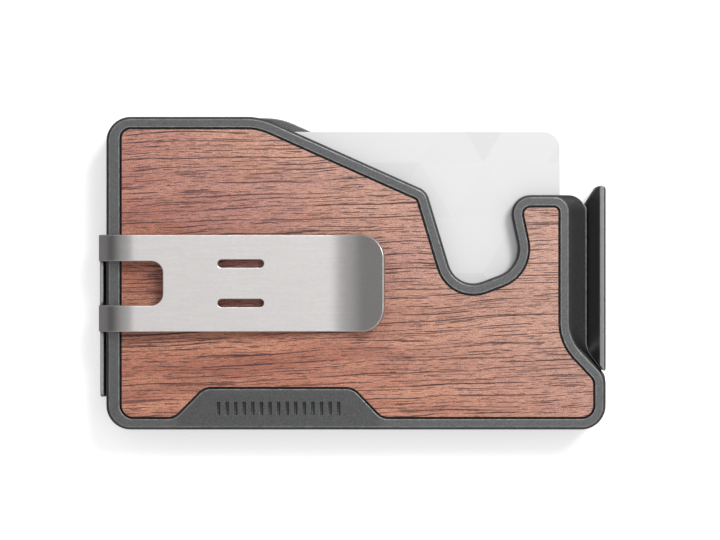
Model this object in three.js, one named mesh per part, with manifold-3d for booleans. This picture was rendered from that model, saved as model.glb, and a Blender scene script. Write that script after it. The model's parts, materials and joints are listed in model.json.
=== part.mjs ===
// A rigid card holder whose lever fans the cards out, with a spring-steel money clip on its front.
// Millimetres. X runs along the case, Y across it and Z up through its thickness.
// The origin is the centre of the case's flat back face, on which it lies.

import * as THREE from "three";
import { mergeVertices } from "three/addons/utils/BufferGeometryUtils.js";
import Module from "manifold-3d";

const wasm = await Module();
wasm.setup();

// ---------------------------------------------------------------- driving dimensions

// The cards: five of the standard ID-1 size. The case is sized round them.
const CARD_LENGTH = 85.6;
const CARD_WIDTH = 53.98;
const CARD_THICKNESS = 0.76;
const CARD_CORNER = 3.18;
const CARD_GAP = 0.14; // between one card and the next
const CARD_COUNT = 5;
const CARD_CLEARANCE = 0.3;
const STACK_LIFT = 0.55; // room for the pressure spring under the last card
const ROOF_GAP = 0.15;

// The case, seen from the front.
const LEFT_WALL = 4.1;
const RIGHT_ROOM = 9; // between the cards and the case's right end
const TOP_WALL = 2.6;
const LOWER_ROOM = 5.12; // between the cards and the case's lower edge
const CORNER_RADIUS = 4.8;
const EDGE_CHAMFER = 0.5;
const FRONT_SHELL_THICKNESS = 3;
const BACK_SHELL_THICKNESS = 2.6;
const FACE_RIGHT_INSET = 6.9; // from the case's right end to the edge of the flat face beside the lever
const FLANK_RUN = 3; // how far the finger groove's slope runs out under that edge
const FLANK_LAND = 0.4; // upright foot of the slope
const EAR_DROP = 15.5; // from the case's upper edge down to the end of the face beside the lever
const EAR_SHOULDER = 10.7; // from the case's lower edge up to the bottom-right ear's shoulder
const FACE_SHOULDER_RISE = 7.3; // the S-curve's rise from that shoulder to the straight face edge

// The thumb notch and the slanting top edge, each point as [in from the right end, down from the top].
const NOTCH_MOUTH = [19.6, EAR_DROP];
const NOTCH_FLOOR_RIGHT = [16.6, 29.7];
const NOTCH_FLOOR_LEFT = [29.5, 34.6];
const NOTCH_LIP = [35.5, 14.7];
const FRONT_SLANT_START = [68.4, 0];
const BACK_SLANT_START = [64.6, 0];
const BACK_SLANT_END = [29.9, EAR_DROP];
const EAR_TOP_RADIUS = 3.4;
const NOTCH_MOUTH_RADIUS = 3.8;
const NOTCH_FLOOR_RADII = [5.6, 5]; // right and left
const NOTCH_LIP_RADIUS = 3.2;
const FRONT_SLANT_RADIUS = 13.5;
const BACK_SLANT_RADII = [14, 5]; // at its start and end
const FACE_SHOULDER_RADII = [4.6, 8.3]; // at its foot and top
const FOOT_SHOULDER_RADII = [2.5, 5];
const FOOT_SHOULDER_LIFT = 0.9; // how much higher than a plain offset the foot's S-curve ends
const LEAST_RADIUS = 0.3; // that an inset outline's corner keeps

// The wooden panels.
const RIM_WIDTH = 2.1;
const LEFT_RIM_WIDTH = 2.65;
const PANEL_GAP = 0.25;
const PANEL_THICKNESS = 1.1;
const PANEL_SINK = 0.15; // how far a panel's face lies below its rim
const GLUE_LINE = 0.1;
const BADGE_RISE = 5.95; // the blank badge land that the rim forms below the front panel
const BADGE_LEFT = [13.6, 19.5]; // the land's left end at its foot and top, in from the left end
const BADGE_RIGHT = [48.8, 54.5];
const BADGE_RADIUS = 3.2;
const BADGE_GROOVES = 15;
const BADGE_GROOVE_PITCH = 1.7;
const BADGE_GROOVE_SIZE = [0.55, 2.5, 0.3];
const BADGE_GROOVE_LIFT = 0.2; // of the grooves above the middle of the land
const BACK_PANEL_GAP = 3.5; // between the back panel and the clip's base
const BACK_RIM_WIDTH = 3.6;
const BACK_FOOT_WIDTH = 4.6;
const BACK_PANEL_SHIFT = 1; // how far the panel's right side stands in from its rim's line
const BACK_PANEL_CORNER = 2.4;
const BACK_PANEL_RADII = [4.5, 8, 10]; // at the ear's shoulder, the slant's end and its start

// The middle frame between the shells.
const FOOT_WALL = 1.9; // under the lever's foot
const FRAME_INSET = 0.25;
const NEST_FOOT_RADIUS = 1.5; // of the cards' nest at its lower left corner
const MOUTH_OVERLAP = 0.5; // how far the open side reaches past the cards' pivot
const CLEARANCE = 0.05; // between faces that bear on each other

// The lever and its pivot.
const LEVER_OPEN = THREE.MathUtils.degToRad(32);
const BACK_FAN_RATIO = 0.52; // the rearmost card's turn per turn of the lever
const FAN_RATIO_STEP = 0.1; // each card in front of it turns less by this
const NOSE_GAP = 0.2; // between a step's nose and its card
const NOSE_FALL = 0.05; // the nose starts once it has dropped this far below the step's flat
const FOOT_DEPTH = 2.6;
const FOOT_CHAMFER = 0.4;
const HUB_RADIUS = 4.5;
const HUB_GAP = 0.3;
const WEB_INSET = 1.5; // the web's inner face, left of the pivot
const LEVER_RISE = 2; // the rail's tip stands this far above the face beside it
const LEVER_FOOT_GAP = 0.9; // between the ear's shoulder and the rail's foot
const GROOVE_END_DROP = 2.1; // from the face's top corner down to the end of the finger groove
const RAIL_WIDTH = 0.8;
const RAIL_CHAMFER = 0.35;
const RAIL_FOOT_RADIUS = 0.6;
const RAIL_TIP_RADIUS = 0.9;
const RAIL_TIP_WIDTH = 1.6;
const RAIL_TIP_FALL = 0.2;
const RAIL_CURL_RADIUS = 1.2; // where the rail's tip curls over the web
const RAIL_CURL_OVERLAP = 0.3;
const WEB_TIP_RADIUS = 0.5;
const OVERHANG = 0.02; // that keeps a cutter clear of the face it trims
const NOSE_STEPS = 8;
const GROOVE_GAP = 0.3;
const BUSH_BORE = 1.35;
const BUSH_RADIUS = 2;
const PIVOT_RADIUS = 1.25;
const PIVOT_THREAD = 0.9;
const PIVOT_HEAD = [2.4, 1.1];
const PIVOT_HEAD_CHAMFER = 0.25;
const PIVOT_SOCKET = 1.1;
const WASHER_RADIUS = 4;
const FIT_GAP = 0.1;

// The money clip.
const STEEL = 0.8;
const CLIP_SIDE_GAP = 0.8; // between the case's end and the clip
const CLIP_WIDTH = 19.2;
const CLIP_CENTRE = -2;
const CLIP_BEND = 6.5; // the large bend's radius, at the middle of the steel
const CLIP_RISE = 3.65; // that bend's crown above the front face, at the middle of the steel
const CLIP_TOUCH_GAP = 0.1; // between the leaf's lowest point and the front face
const CLIP_CONTACT = 45.3; // these places are in from the case's left end
const CLIP_TIP = 55.1;
const BASE_LEG_END = 16.5;
const CLIP_SCREW_X = 11.5;
const WINDOW_END = 11.3;
const SLOT_X = 26.7;
const CLIP_FLARE = THREE.MathUtils.degToRad(27);
const CLIP_FLARE_RADIUS = 12;
const CLIP_TIP_CORNER = 4.8;
const CLIP_FLEX_LINE = 3.5; // height at which the leaf bends on its base
const CLIP_FOOT_BEND = 1.4;
const BASE_LIFT = 6.3; // from the case's lower edge up to the base, clear of the corner screw
const BASE_CORNER = 2;
const WINDOW_WIDTH = 8.7;
const WINDOW_SILL = 4.6;
const WINDOW_CORNER = 2.3;
const SLOT_SPACING = 7.8;
const SLOT_LENGTH = 9;
const SLOT_WIDTH = 1.5;
const RECESS_SPARE = 0.2; // the recess is this much deeper than the base
const RECESS_GAP = 0.35;

// Screws and the pressure spring.
const SCREW_RADIUS = 0.8;
const SCREW_HEAD = [1.5, 0.9];
const SCREW_HEAD_CHAMFER = 0.2;
// The case screws: two at the left end, in from it and down from the top, and two along the foot.
const TOP_SCREW = [3.2, 3.1];
const SIDE_SCREW = [2.3, 16.5];
const CORNER_SCREW = [3.1, 3.3];
const FOOT_SCREW_LIFT = 2.5;
const SCREW_COVER = 0.4; // metal left between a screw's end and the panel's pocket
const FOOT_SCREW_GAP = 8.15; // between the lever's longest step and the screw beside it
const SOCKET = [0.75, 0.6];
const CLIP_SCREW_HEAD = 1.7;
const CLIP_SCREW_INSET = 4.1; // from the base's upper and lower edges
const SPRING_LENGTH = 40;
const SPRING_WIDTH = 10;
const SPRING_STEEL = 0.2;
const SPRING_GAP = 0.2; // under the last card, closed by the spring's own bow
const SPRING_CENTRE = [-5, -2];
const SPRING_SIDE_GAP = 0.4;
const SPRING_POCKET = 0.5;

// ---------------------------------------------------------------- derived places

const RIGHT = (LEFT_WALL + CARD_CLEARANCE + CARD_LENGTH + RIGHT_ROOM) / 2;
const LEFT = -RIGHT;
const TOP = (TOP_WALL + CARD_CLEARANCE + CARD_WIDTH + LOWER_ROOM) / 2;
const BOTTOM = -TOP;
const CARD_PITCH = CARD_THICKNESS + CARD_GAP;
const SLOT_FLOOR = BACK_SHELL_THICKNESS;
const FIRST_CARD_Z = SLOT_FLOOR + STACK_LIFT;
const SLOT_ROOF = FIRST_CARD_Z + CARD_COUNT * CARD_PITCH + ROOF_GAP;
const FRONT_FACE = SLOT_ROOF + FRONT_SHELL_THICKNESS;
const FACE_RIGHT = RIGHT - FACE_RIGHT_INSET;
const FLANK_FOOT = FACE_RIGHT + FLANK_RUN;
const EAR_TOP = TOP - EAR_DROP;
const LEVER_TOP = EAR_TOP + LEVER_RISE;
const LEVER_FOOT = BOTTOM + EAR_SHOULDER + LEVER_FOOT_GAP;
const GROOVE_END = EAR_TOP - GROOVE_END_DROP;
const CARD_LEFT = LEFT + LEFT_WALL + CARD_CLEARANCE;
const CARD_TOP = TOP - TOP_WALL - CARD_CLEARANCE;
const CARD_BOTTOM = CARD_TOP - CARD_WIDTH;
// Each card turns about the centre of its rounded top-left corner, which nests in the frame.
const CARD_PIVOT = new THREE.Vector2(
  CARD_LEFT + CARD_CORNER,
  CARD_TOP - CARD_CORNER,
);
// The lever's hub fills the case's bottom-right corner.
const PIVOT_INSET = HUB_RADIUS + HUB_GAP;
const PIVOT = new THREE.Vector2(RIGHT - PIVOT_INSET, BOTTOM + PIVOT_INSET);
const CLIP_MIDDLE_X = LEFT - CLIP_SIDE_GAP - STEEL / 2;
const CLIP_TOP_EDGE = CLIP_CENTRE + CLIP_WIDTH / 2;
const CLIP_LOW_EDGE = CLIP_CENTRE - CLIP_WIDTH / 2;
const BASE_BOTTOM = BOTTOM + BASE_LIFT;
const RECESS_DEPTH = CLEARANCE + STEEL + RECESS_SPARE;
const PANEL_POCKET_DEPTH = PANEL_SINK + PANEL_THICKNESS + GLUE_LINE;
const SCREW_BITE = FRONT_SHELL_THICKNESS - PANEL_POCKET_DEPTH - SCREW_COVER;
const CLIP_SCREW_END = SLOT_FLOOR - 2 * SCREW_COVER + SPRING_POCKET;
const CLIP_SCREWS = [
  fromLeft(CLIP_SCREW_X, CLIP_TOP_EDGE - CLIP_SCREW_INSET),
  fromLeft(CLIP_SCREW_X, BASE_BOTTOM + CLIP_SCREW_INSET),
];
const FOOT_END = PIVOT.x + noseOf(BACK_FAN_RATIO).at(-1).x;
const CASE_SCREWS = [
  fromLeft(TOP_SCREW[0], TOP - TOP_SCREW[1]),
  fromLeft(SIDE_SCREW[0], TOP - SIDE_SCREW[1]),
  fromLeft(CORNER_SCREW[0], BOTTOM + CORNER_SCREW[1]),
  new THREE.Vector2(FOOT_END - FOOT_SCREW_GAP, BOTTOM + FOOT_SCREW_LIFT),
];

// ---------------------------------------------------------------- outlines

// How many facets make a full turn, from the smallest holes to the hub.
const SOCKET_FACETS = 6;
const HOLE_FACETS = 20;
const HEAD_FACETS = 24;
const TURNED_FACETS = 28;
const BUSH_FACETS = 36;
const HUB_FACETS = 48;
const CORNER_FACETS = 10; // each corner of an outline
const CLIP_BEND_FACETS = 18;
const FOOT_BEND_FACETS = 8; // and the flare at the clip's tip
const SPRING_FACETS = 12;
const PLAIN_CORNER_FACETS = 6; // each corner of a plain rectangle

function fromLeft(distance, y) {
  return new THREE.Vector2(LEFT + distance, y);
}

/** A corner of an outline: its sharp point and the radius that rounds it. */
function corner(x, y, radius = 0) {
  return { at: new THREE.Vector2(x, y), radius };
}

/** A corner placed in from the case's right end and down from its upper edge. */
function cornerIn([x, y], radius) {
  return corner(RIGHT - x, TOP - y, radius);
}

/** The points of a closed outline, with each corner turned into an arc of the same step count. */
function rounded(corners, steps = CORNER_FACETS) {
  const points = [];
  corners.forEach(({ at, radius }, i) => {
    const before = corners.at(i - 1).at;
    const after = corners[(i + 1) % corners.length].at;
    const back = before.clone().sub(at).normalize();
    const on = after.clone().sub(at).normalize();
    const half = back.angleTo(on) / 2;
    const reach = radius / Math.tan(half);
    const centre = back
      .clone()
      .add(on)
      .normalize()
      .multiplyScalar(radius / Math.sin(half))
      .add(at);
    const from = back.multiplyScalar(reach).add(at).sub(centre);
    const to = on.multiplyScalar(reach).add(at).sub(centre);
    const turn = Math.atan2(from.cross(to), from.dot(to));
    for (let step = 0; step <= steps; step++) {
      const share = steps ? step / steps : 0;
      points.push(
        from
          .clone()
          .rotateAround(new THREE.Vector2(), turn * share)
          .add(centre),
      );
    }
  });
  return points;
}

/** The corners of an anticlockwise outline with each side moved inwards by its own distance. */
function inset(corners, distanceOf) {
  const sides = corners.map(({ at }, i) => {
    const next = corners[(i + 1) % corners.length].at;
    const along = next.clone().sub(at).normalize();
    const inwards = new THREE.Vector2(-along.y, along.x);
    return {
      through: at.clone().addScaledVector(inwards, distanceOf(i)),
      along,
    };
  });
  return corners.map(({ radius }, i) => {
    const a = sides.at(i - 1);
    const b = sides[i];
    const turn = a.along.cross(b.along);
    const gap = b.through.clone().sub(a.through);
    const meet = a.through
      .clone()
      .addScaledVector(a.along, gap.cross(b.along) / turn);
    const shift = Math.sign(turn) * Math.max(distanceOf(i), 0);
    return { at: meet, radius: Math.max(radius - shift, LEAST_RADIUS) };
  });
}

const evenly = (distance) => () => distance;

/** The front shell's outline, anticlockwise from the bottom-left corner, for a given right edge. */
function frontCorners(rightEdge, shoulderRadii, rise) {
  return [
    corner(LEFT, BOTTOM, CORNER_RADIUS),
    corner(RIGHT, BOTTOM, CORNER_RADIUS),
    corner(RIGHT, BOTTOM + EAR_SHOULDER, shoulderRadii[0]),
    corner(rightEdge, BOTTOM + EAR_SHOULDER + rise, shoulderRadii[1]),
    corner(rightEdge, EAR_TOP, EAR_TOP_RADIUS),
    cornerIn(NOTCH_MOUTH, NOTCH_MOUTH_RADIUS),
    cornerIn(NOTCH_FLOOR_RIGHT, NOTCH_FLOOR_RADII[0]),
    cornerIn(NOTCH_FLOOR_LEFT, NOTCH_FLOOR_RADII[1]),
    cornerIn(NOTCH_LIP, NOTCH_LIP_RADIUS),
    cornerIn(FRONT_SLANT_START, FRONT_SLANT_RADIUS),
    corner(LEFT, TOP, CORNER_RADIUS),
  ];
}

const SHARED_CORNERS = 5; // the front outline's first corners, which the back's outline shares

/** The back shell's outline, which has no notch and slants further to the right. */
function backCorners(rightEdge, shoulderRadii, rise) {
  return [
    ...frontCorners(rightEdge, shoulderRadii, rise).slice(0, SHARED_CORNERS),
    cornerIn(BACK_SLANT_END, BACK_SLANT_RADII[1]),
    cornerIn(BACK_SLANT_START, BACK_SLANT_RADII[0]),
    corner(LEFT, TOP, CORNER_RADIUS),
  ];
}

const FACE_SHOULDER = [FACE_SHOULDER_RADII, FACE_SHOULDER_RISE];
const FOOT_SHOULDER = [
  FOOT_SHOULDER_RADII,
  FACE_SHOULDER_RISE - FLANK_RUN + FOOT_SHOULDER_LIFT,
];
const frontFace = frontCorners(FACE_RIGHT, ...FACE_SHOULDER);
const frontFoot = frontCorners(FLANK_FOOT, ...FOOT_SHOULDER);
const backFace = backCorners(FACE_RIGHT, ...FACE_SHOULDER);
const backFoot = backCorners(FLANK_FOOT, ...FOOT_SHOULDER);

/** The front panel's pocket: the rim's inner edge, with the badge land rising into it. */
function frontPocket() {
  const lastSide = frontFace.length - 1;
  const rim = inset(frontFace, (side) =>
    side === lastSide ? LEFT_RIM_WIDTH : RIM_WIDTH,
  );
  const low = BOTTOM + RIM_WIDTH;
  const high = low + BADGE_RISE;
  const badge = [
    corner(LEFT + BADGE_LEFT[0], low, BADGE_RADIUS),
    corner(LEFT + BADGE_LEFT[1], high, BADGE_RADIUS),
    corner(LEFT + BADGE_RIGHT[0], high, BADGE_RADIUS),
    corner(LEFT + BADGE_RIGHT[1], low, BADGE_RADIUS),
  ];
  return [rim[0], ...badge, ...rim.slice(1)];
}

/** The back panel's pocket, clear of the clip's base and of the screws below it. */
function backPocket() {
  const inner = inset(backFace, (side) =>
    side === 0 ? BACK_FOOT_WIDTH : BACK_RIM_WIDTH,
  );
  const bottom = BOTTOM + BACK_FOOT_WIDTH;
  const left = LEFT + BASE_LEG_END + BACK_PANEL_GAP;
  const [ear, earTop, slantEnd, slantStart] = inner
    .slice(SHARED_CORNERS - 2)
    .map(({ at }) => at);
  const [earRadius, endRadius, startRadius] = BACK_PANEL_RADII;
  return [
    corner(left, bottom, BACK_PANEL_CORNER),
    corner(ear.x - BACK_PANEL_SHIFT, bottom, earRadius),
    corner(earTop.x - BACK_PANEL_SHIFT, earTop.y, BACK_PANEL_CORNER),
    corner(slantEnd.x, slantEnd.y, endRadius),
    corner(slantStart.x, slantStart.y, startRadius),
    corner(left, slantStart.y, BACK_PANEL_CORNER),
  ];
}

/** A circle's corners are its points: this gives them directly, for holes and round bodies. */
function circle(centre, radius, steps = TURNED_FACETS) {
  return Array.from({ length: steps }, (_, i) =>
    new THREE.Vector2(radius, 0)
      .rotateAround(new THREE.Vector2(), (2 * Math.PI * i) / steps)
      .add(centre),
  );
}

function rectangle(left, bottom, right, top, radius = 0) {
  const steps = radius ? PLAIN_CORNER_FACETS : 0;
  return rounded(
    [
      corner(left, bottom, radius),
      corner(right, bottom, radius),
      corner(right, top, radius),
      corner(left, top, radius),
    ],
    steps,
  );
}

// ---------------------------------------------------------------- solids

/** A straight prism over an outline, from one height to another. */
function prism(outline, low, high) {
  const shape = new THREE.Shape(outline);
  return new THREE.ExtrudeGeometry(shape, {
    depth: high - low,
    bevelEnabled: false,
    steps: 1,
  }).translate(0, 0, low);
}

/** A solid skinned over outlines of equal point count, lowest first, with flat ends. */
function skinned(rings) {
  const count = rings[0].outline.length;
  const positions = rings.flatMap(({ z, outline }) =>
    outline.flatMap(({ x, y }) => [x, y, z]),
  );
  const index = [];
  rings.slice(1).forEach((_, ring) => {
    for (let i = 0; i < count; i++) {
      const a = ring * count + i;
      const b = ring * count + ((i + 1) % count);
      index.push(a, b, b + count, a, b + count, a + count);
    }
  });
  const topRing = rings.at(-1).outline;
  const topStart = (rings.length - 1) * count;
  THREE.ShapeUtils.triangulateShape(rings[0].outline, []).forEach(([a, b, c]) =>
    index.push(c, b, a),
  );
  THREE.ShapeUtils.triangulateShape(topRing, []).forEach(([a, b, c]) =>
    index.push(topStart + a, topStart + b, topStart + c),
  );
  return new THREE.BufferGeometry()
    .setAttribute("position", new THREE.Float32BufferAttribute(positions, 3))
    .setIndex(index);
}

/** A strip of the profile in X and Z, as wide as from one Y to another. */
function acrossY(profile, low, high) {
  return prism(profile, 0, high - low)
    .rotateX(Math.PI / 2)
    .translate(0, high, 0);
}

function box(low, high) {
  return prism(rectangle(low[0], low[1], high[0], high[1]), low[2], high[2]);
}

/** A turned body about an upright axis; its profile is [radius, height] pairs, lowest first. */
function turned(centre, profile, steps = TURNED_FACETS) {
  const points = profile.map(
    ([radius, height]) => new THREE.Vector2(radius, height),
  );
  return new THREE.LatheGeometry(points, steps)
    .rotateX(Math.PI / 2)
    .translate(centre.x, centre.y, 0);
}

/** The manifold solid of a closed geometry; a solid passes through as it is. */
function solidOf(shape) {
  if (!shape.isBufferGeometry) return shape;
  const bare = shape.clone();
  bare.deleteAttribute("normal");
  bare.deleteAttribute("uv");
  const merged = mergeVertices(bare, 1e-4);
  return new wasm.Manifold(
    new wasm.Mesh({
      numProp: 3,
      vertProperties: merged.attributes.position.array,
      triVerts: new Uint32Array(merged.index.array),
    }),
  );
}

function geometryOf(shape) {
  if (shape.isBufferGeometry) return shape;
  const { vertProperties, triVerts } = shape.getMesh();
  const geometry = new THREE.BufferGeometry()
    .setAttribute("position", new THREE.BufferAttribute(vertProperties, 3))
    .setIndex(new THREE.BufferAttribute(triVerts, 1));
  geometry.computeVertexNormals();
  return geometry;
}

function cut(body, ...tools) {
  return tools.reduce(
    (solid, tool) => solid.subtract(solidOf(tool)),
    solidOf(body),
  );
}

function join(...bodies) {
  return bodies.map(solidOf).reduce((solid, other) => solid.add(other));
}

function overlapOf(body, other) {
  return solidOf(body).intersect(solidOf(other));
}

// ---------------------------------------------------------------- finishes

function finish(color, roughness, metalness) {
  return new THREE.MeshStandardMaterial({ color, roughness, metalness });
}

const anodised = finish(0x6e6f70, 0.5, 0.85);
const walnut = finish(0xa9705d, 0.6, 0);
const brushedSteel = finish(0xd2cecc, 0.35, 1);
const blackOxide = finish(0x1d1d1f, 0.5, 0.8);
const bronze = finish(0xa9803f, 0.4, 1);
const cardPlastic = finish(0xeeeeee, 0.35, 0);
const nylon = finish(0x2b2c2e, 0.6, 0);

const model = new THREE.Group();

function add(name, shape, material) {
  const mesh = new THREE.Mesh(geometryOf(shape), material);
  mesh.name = name;
  model.add(mesh);
}

// ---------------------------------------------------------------- the shells

/** Blind holes and counterbores that the case screws and the pivot screw need in one shell. */
function screwHoles(low, high) {
  const pivotHole = circle(PIVOT, PIVOT_RADIUS + FIT_GAP);
  const holes = CASE_SCREWS.map((centre) =>
    prism(circle(centre, SCREW_RADIUS + FIT_GAP, HOLE_FACETS), low, high),
  );
  return [...holes, prism(pivotHole, low, high)];
}

/** The front shell: chamfered edge, sloping finger groove, panel pocket and blank grooved badge. */
function frontShell() {
  const body = skinned([
    { z: SLOT_ROOF, outline: rounded(frontFoot) },
    { z: SLOT_ROOF + FLANK_LAND, outline: rounded(frontFoot) },
    { z: FRONT_FACE - EDGE_CHAMFER, outline: rounded(frontFace) },
    { z: FRONT_FACE, outline: rounded(inset(frontFace, evenly(EDGE_CHAMFER))) },
  ]);
  const pocketFloor = FRONT_FACE - PANEL_POCKET_DEPTH;
  const pocket = prism(rounded(frontPocket()), pocketFloor, FRONT_FACE + 1);
  const [wide, tall, deep] = BADGE_GROOVE_SIZE;
  const badgeX = LEFT + (BADGE_LEFT[1] + BADGE_RIGHT[0]) / 2;
  const badgeY = BOTTOM + (RIM_WIDTH + BADGE_RISE) / 2 + BADGE_GROOVE_LIFT;
  const grooves = Array.from({ length: BADGE_GROOVES }, (_, i) => {
    const x = badgeX + (i - (BADGE_GROOVES - 1) / 2) * BADGE_GROOVE_PITCH;
    return box(
      [x - wide / 2, badgeY - tall / 2, FRONT_FACE - deep],
      [x + wide / 2, badgeY + tall / 2, FRONT_FACE + 1],
    );
  });
  const holes = screwHoles(SLOT_ROOF - 1, SLOT_ROOF + SCREW_BITE + 2 * FIT_GAP);
  return cut(body, pocket, ...grooves, ...holes);
}

/** The back shell: the same edges mirrored, a panel pocket, the clip's recess and the spring's. */
function backShell() {
  const body = skinned([
    { z: 0, outline: rounded(inset(backFace, evenly(EDGE_CHAMFER))) },
    { z: EDGE_CHAMFER, outline: rounded(backFace) },
    { z: SLOT_FLOOR - FLANK_LAND, outline: rounded(backFoot) },
    { z: SLOT_FLOOR, outline: rounded(backFoot) },
  ]);
  const pocket = prism(rounded(backPocket()), -1, PANEL_THICKNESS + GLUE_LINE);
  const recess = box(
    [LEFT - 1, BASE_BOTTOM - RECESS_GAP, -1],
    [
      LEFT + BASE_LEG_END + RECESS_GAP,
      CLIP_TOP_EDGE + RECESS_GAP,
      RECESS_DEPTH,
    ],
  );
  const counterbores = CASE_SCREWS.map((centre) =>
    prism(
      circle(centre, SCREW_HEAD[0] + FIT_GAP, HEAD_FACETS),
      -1,
      SCREW_HEAD[1] + 2 * CLEARANCE,
    ),
  );
  const pivotSeat = prism(
    circle(PIVOT, PIVOT_HEAD[0] + FIT_GAP),
    -1,
    PIVOT_HEAD[1] + 2 * CLEARANCE,
  );
  const clipHoles = CLIP_SCREWS.map((centre) =>
    prism(
      circle(centre, SCREW_RADIUS + FIT_GAP, HOLE_FACETS),
      0,
      CLIP_SCREW_END + CLEARANCE,
    ),
  );
  const springPocket = box(
    [
      SPRING_CENTRE[0] - SPRING_LENGTH / 2 - 1,
      SPRING_CENTRE[1] - SPRING_WIDTH / 2 - SPRING_SIDE_GAP,
      SLOT_FLOOR - SPRING_POCKET,
    ],
    [
      SPRING_CENTRE[0] + SPRING_LENGTH / 2 + 1,
      SPRING_CENTRE[1] + SPRING_WIDTH / 2 + SPRING_SIDE_GAP,
      SLOT_FLOOR + 1,
    ],
  );
  return cut(
    body,
    pocket,
    recess,
    springPocket,
    pivotSeat,
    ...counterbores,
    ...clipHoles,
    ...screwHoles(-1, SLOT_FLOOR + 1),
  );
}

function panel(pocket, low) {
  const outline = rounded(inset(pocket, evenly(PANEL_GAP)));
  return prism(outline, low, low + PANEL_THICKNESS);
}

/** The C-shaped frame between the shells: the cards nest in its corner and turn there. */
function middleFrame() {
  const outer = inset(
    [
      corner(LEFT, BOTTOM, CORNER_RADIUS),
      corner(RIGHT, BOTTOM, CORNER_RADIUS),
      corner(RIGHT, TOP, CORNER_RADIUS),
      corner(LEFT, TOP, CORNER_RADIUS),
    ],
    evenly(FRAME_INSET),
  );
  const low = SLOT_FLOOR + CLEARANCE;
  const high = SLOT_ROOF - CLEARANCE;
  const body = prism(rounded(outer), low, high);
  const nest = rounded([
    corner(
      CARD_LEFT - CARD_CLEARANCE,
      CARD_BOTTOM - CARD_CLEARANCE,
      NEST_FOOT_RADIUS,
    ),
    corner(RIGHT + 1, CARD_BOTTOM - CARD_CLEARANCE, LEAST_RADIUS),
    corner(RIGHT + 1, CARD_TOP + CARD_CLEARANCE, LEAST_RADIUS),
    corner(
      CARD_LEFT - CARD_CLEARANCE,
      CARD_TOP + CARD_CLEARANCE,
      CARD_CORNER + CARD_CLEARANCE,
    ),
  ]);
  const mouth = box(
    [CARD_PIVOT.x - MOUTH_OVERLAP, PIVOT.y, low - 1],
    [RIGHT + 1, TOP + 1, high + 1],
  );
  const footRoom = box(
    [FOOT_END - 1, BOTTOM + FOOT_WALL, low - 1],
    [RIGHT + 1, CARD_BOTTOM, high + 1],
  );
  const hubRoom = box(
    [PIVOT.x - HUB_RADIUS - 1, BOTTOM - 1, low - 1],
    [RIGHT + 1, CARD_BOTTOM, high + 1],
  );
  const holes = CASE_SCREWS.map((centre) =>
    prism(circle(centre, SCREW_RADIUS + FIT_GAP, HOLE_FACETS), low - 1, high + 1),
  );
  return cut(body, prism(nest, low - 1, high + 1), mouth, footRoom, hubRoom, ...holes);
}

// ---------------------------------------------------------------- the lever

/**
 * The nose of one lift step, about the pivot with the lever at rest. A card and the lever turn at a
 * constant ratio when the line square to the card's edge at the touching point passes through the
 * pitch point, so the nose is where that line meets the edge, carried back by the lever's turn.
 */
function noseOf(ratio) {
  const towardsCard = CARD_PIVOT.clone().sub(PIVOT);
  const pitch = towardsCard.clone().multiplyScalar(ratio / (1 + ratio));
  const pitchFromCard = pitch.clone().sub(towardsCard);
  const edgeDistance = CARD_WIDTH - CARD_CORNER;
  return Array.from({ length: NOSE_STEPS + 1 }, (_, i) => {
    const lever = (LEVER_OPEN * i) / NOSE_STEPS;
    const card = lever * ratio;
    const outwards = new THREE.Vector2(Math.sin(card), -Math.cos(card));
    const reach = edgeDistance - pitchFromCard.dot(outwards) + NOSE_GAP;
    return pitch
      .clone()
      .addScaledVector(outwards, reach)
      .rotateAround(new THREE.Vector2(), lever);
  });
}

/** One step of the lever's foot: a flat finger that ends in the nose of its card's ratio. */
function liftStep(ratio, low, high) {
  const nose = noseOf(ratio);
  const flat = nose[0].y;
  const falling = nose.filter(
    ({ y }) => y < flat - NOSE_FALL && y > CLEARANCE - FOOT_DEPTH,
  );
  const tip = falling.at(-1);
  const outline = [
    new THREE.Vector2(0, -FOOT_DEPTH),
    new THREE.Vector2(0, flat),
    new THREE.Vector2(falling[0].x + FOOT_CHAMFER, flat),
    ...falling,
  ];
  if (tip.y > FOOT_CHAMFER + CLEARANCE - FOOT_DEPTH) {
    outline.push(new THREE.Vector2(tip.x, FOOT_CHAMFER - FOOT_DEPTH));
  }
  outline.push(new THREE.Vector2(tip.x + FOOT_CHAMFER, -FOOT_DEPTH));
  return prism(
    outline.map((point) => point.add(PIVOT)),
    low,
    high,
  );
}

/** The rail seen from the front: rounded at its foot, and curling over the web at its tip. */
function leverPlan() {
  const left = PIVOT.x - WEB_INSET - 1;
  return rounded([
    corner(left, LEVER_FOOT, LEAST_RADIUS),
    corner(RIGHT + OVERHANG, LEVER_FOOT, RAIL_FOOT_RADIUS),
    corner(RIGHT + OVERHANG, LEVER_TOP, RAIL_TIP_RADIUS),
    corner(RIGHT - RAIL_TIP_WIDTH, LEVER_TOP - RAIL_TIP_FALL, RAIL_CURL_RADIUS),
    corner(FLANK_FOOT - RAIL_CURL_OVERLAP, GROOVE_END, RAIL_CURL_RADIUS),
    corner(left, GROOVE_END, WEB_TIP_RADIUS),
  ]);
}

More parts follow.
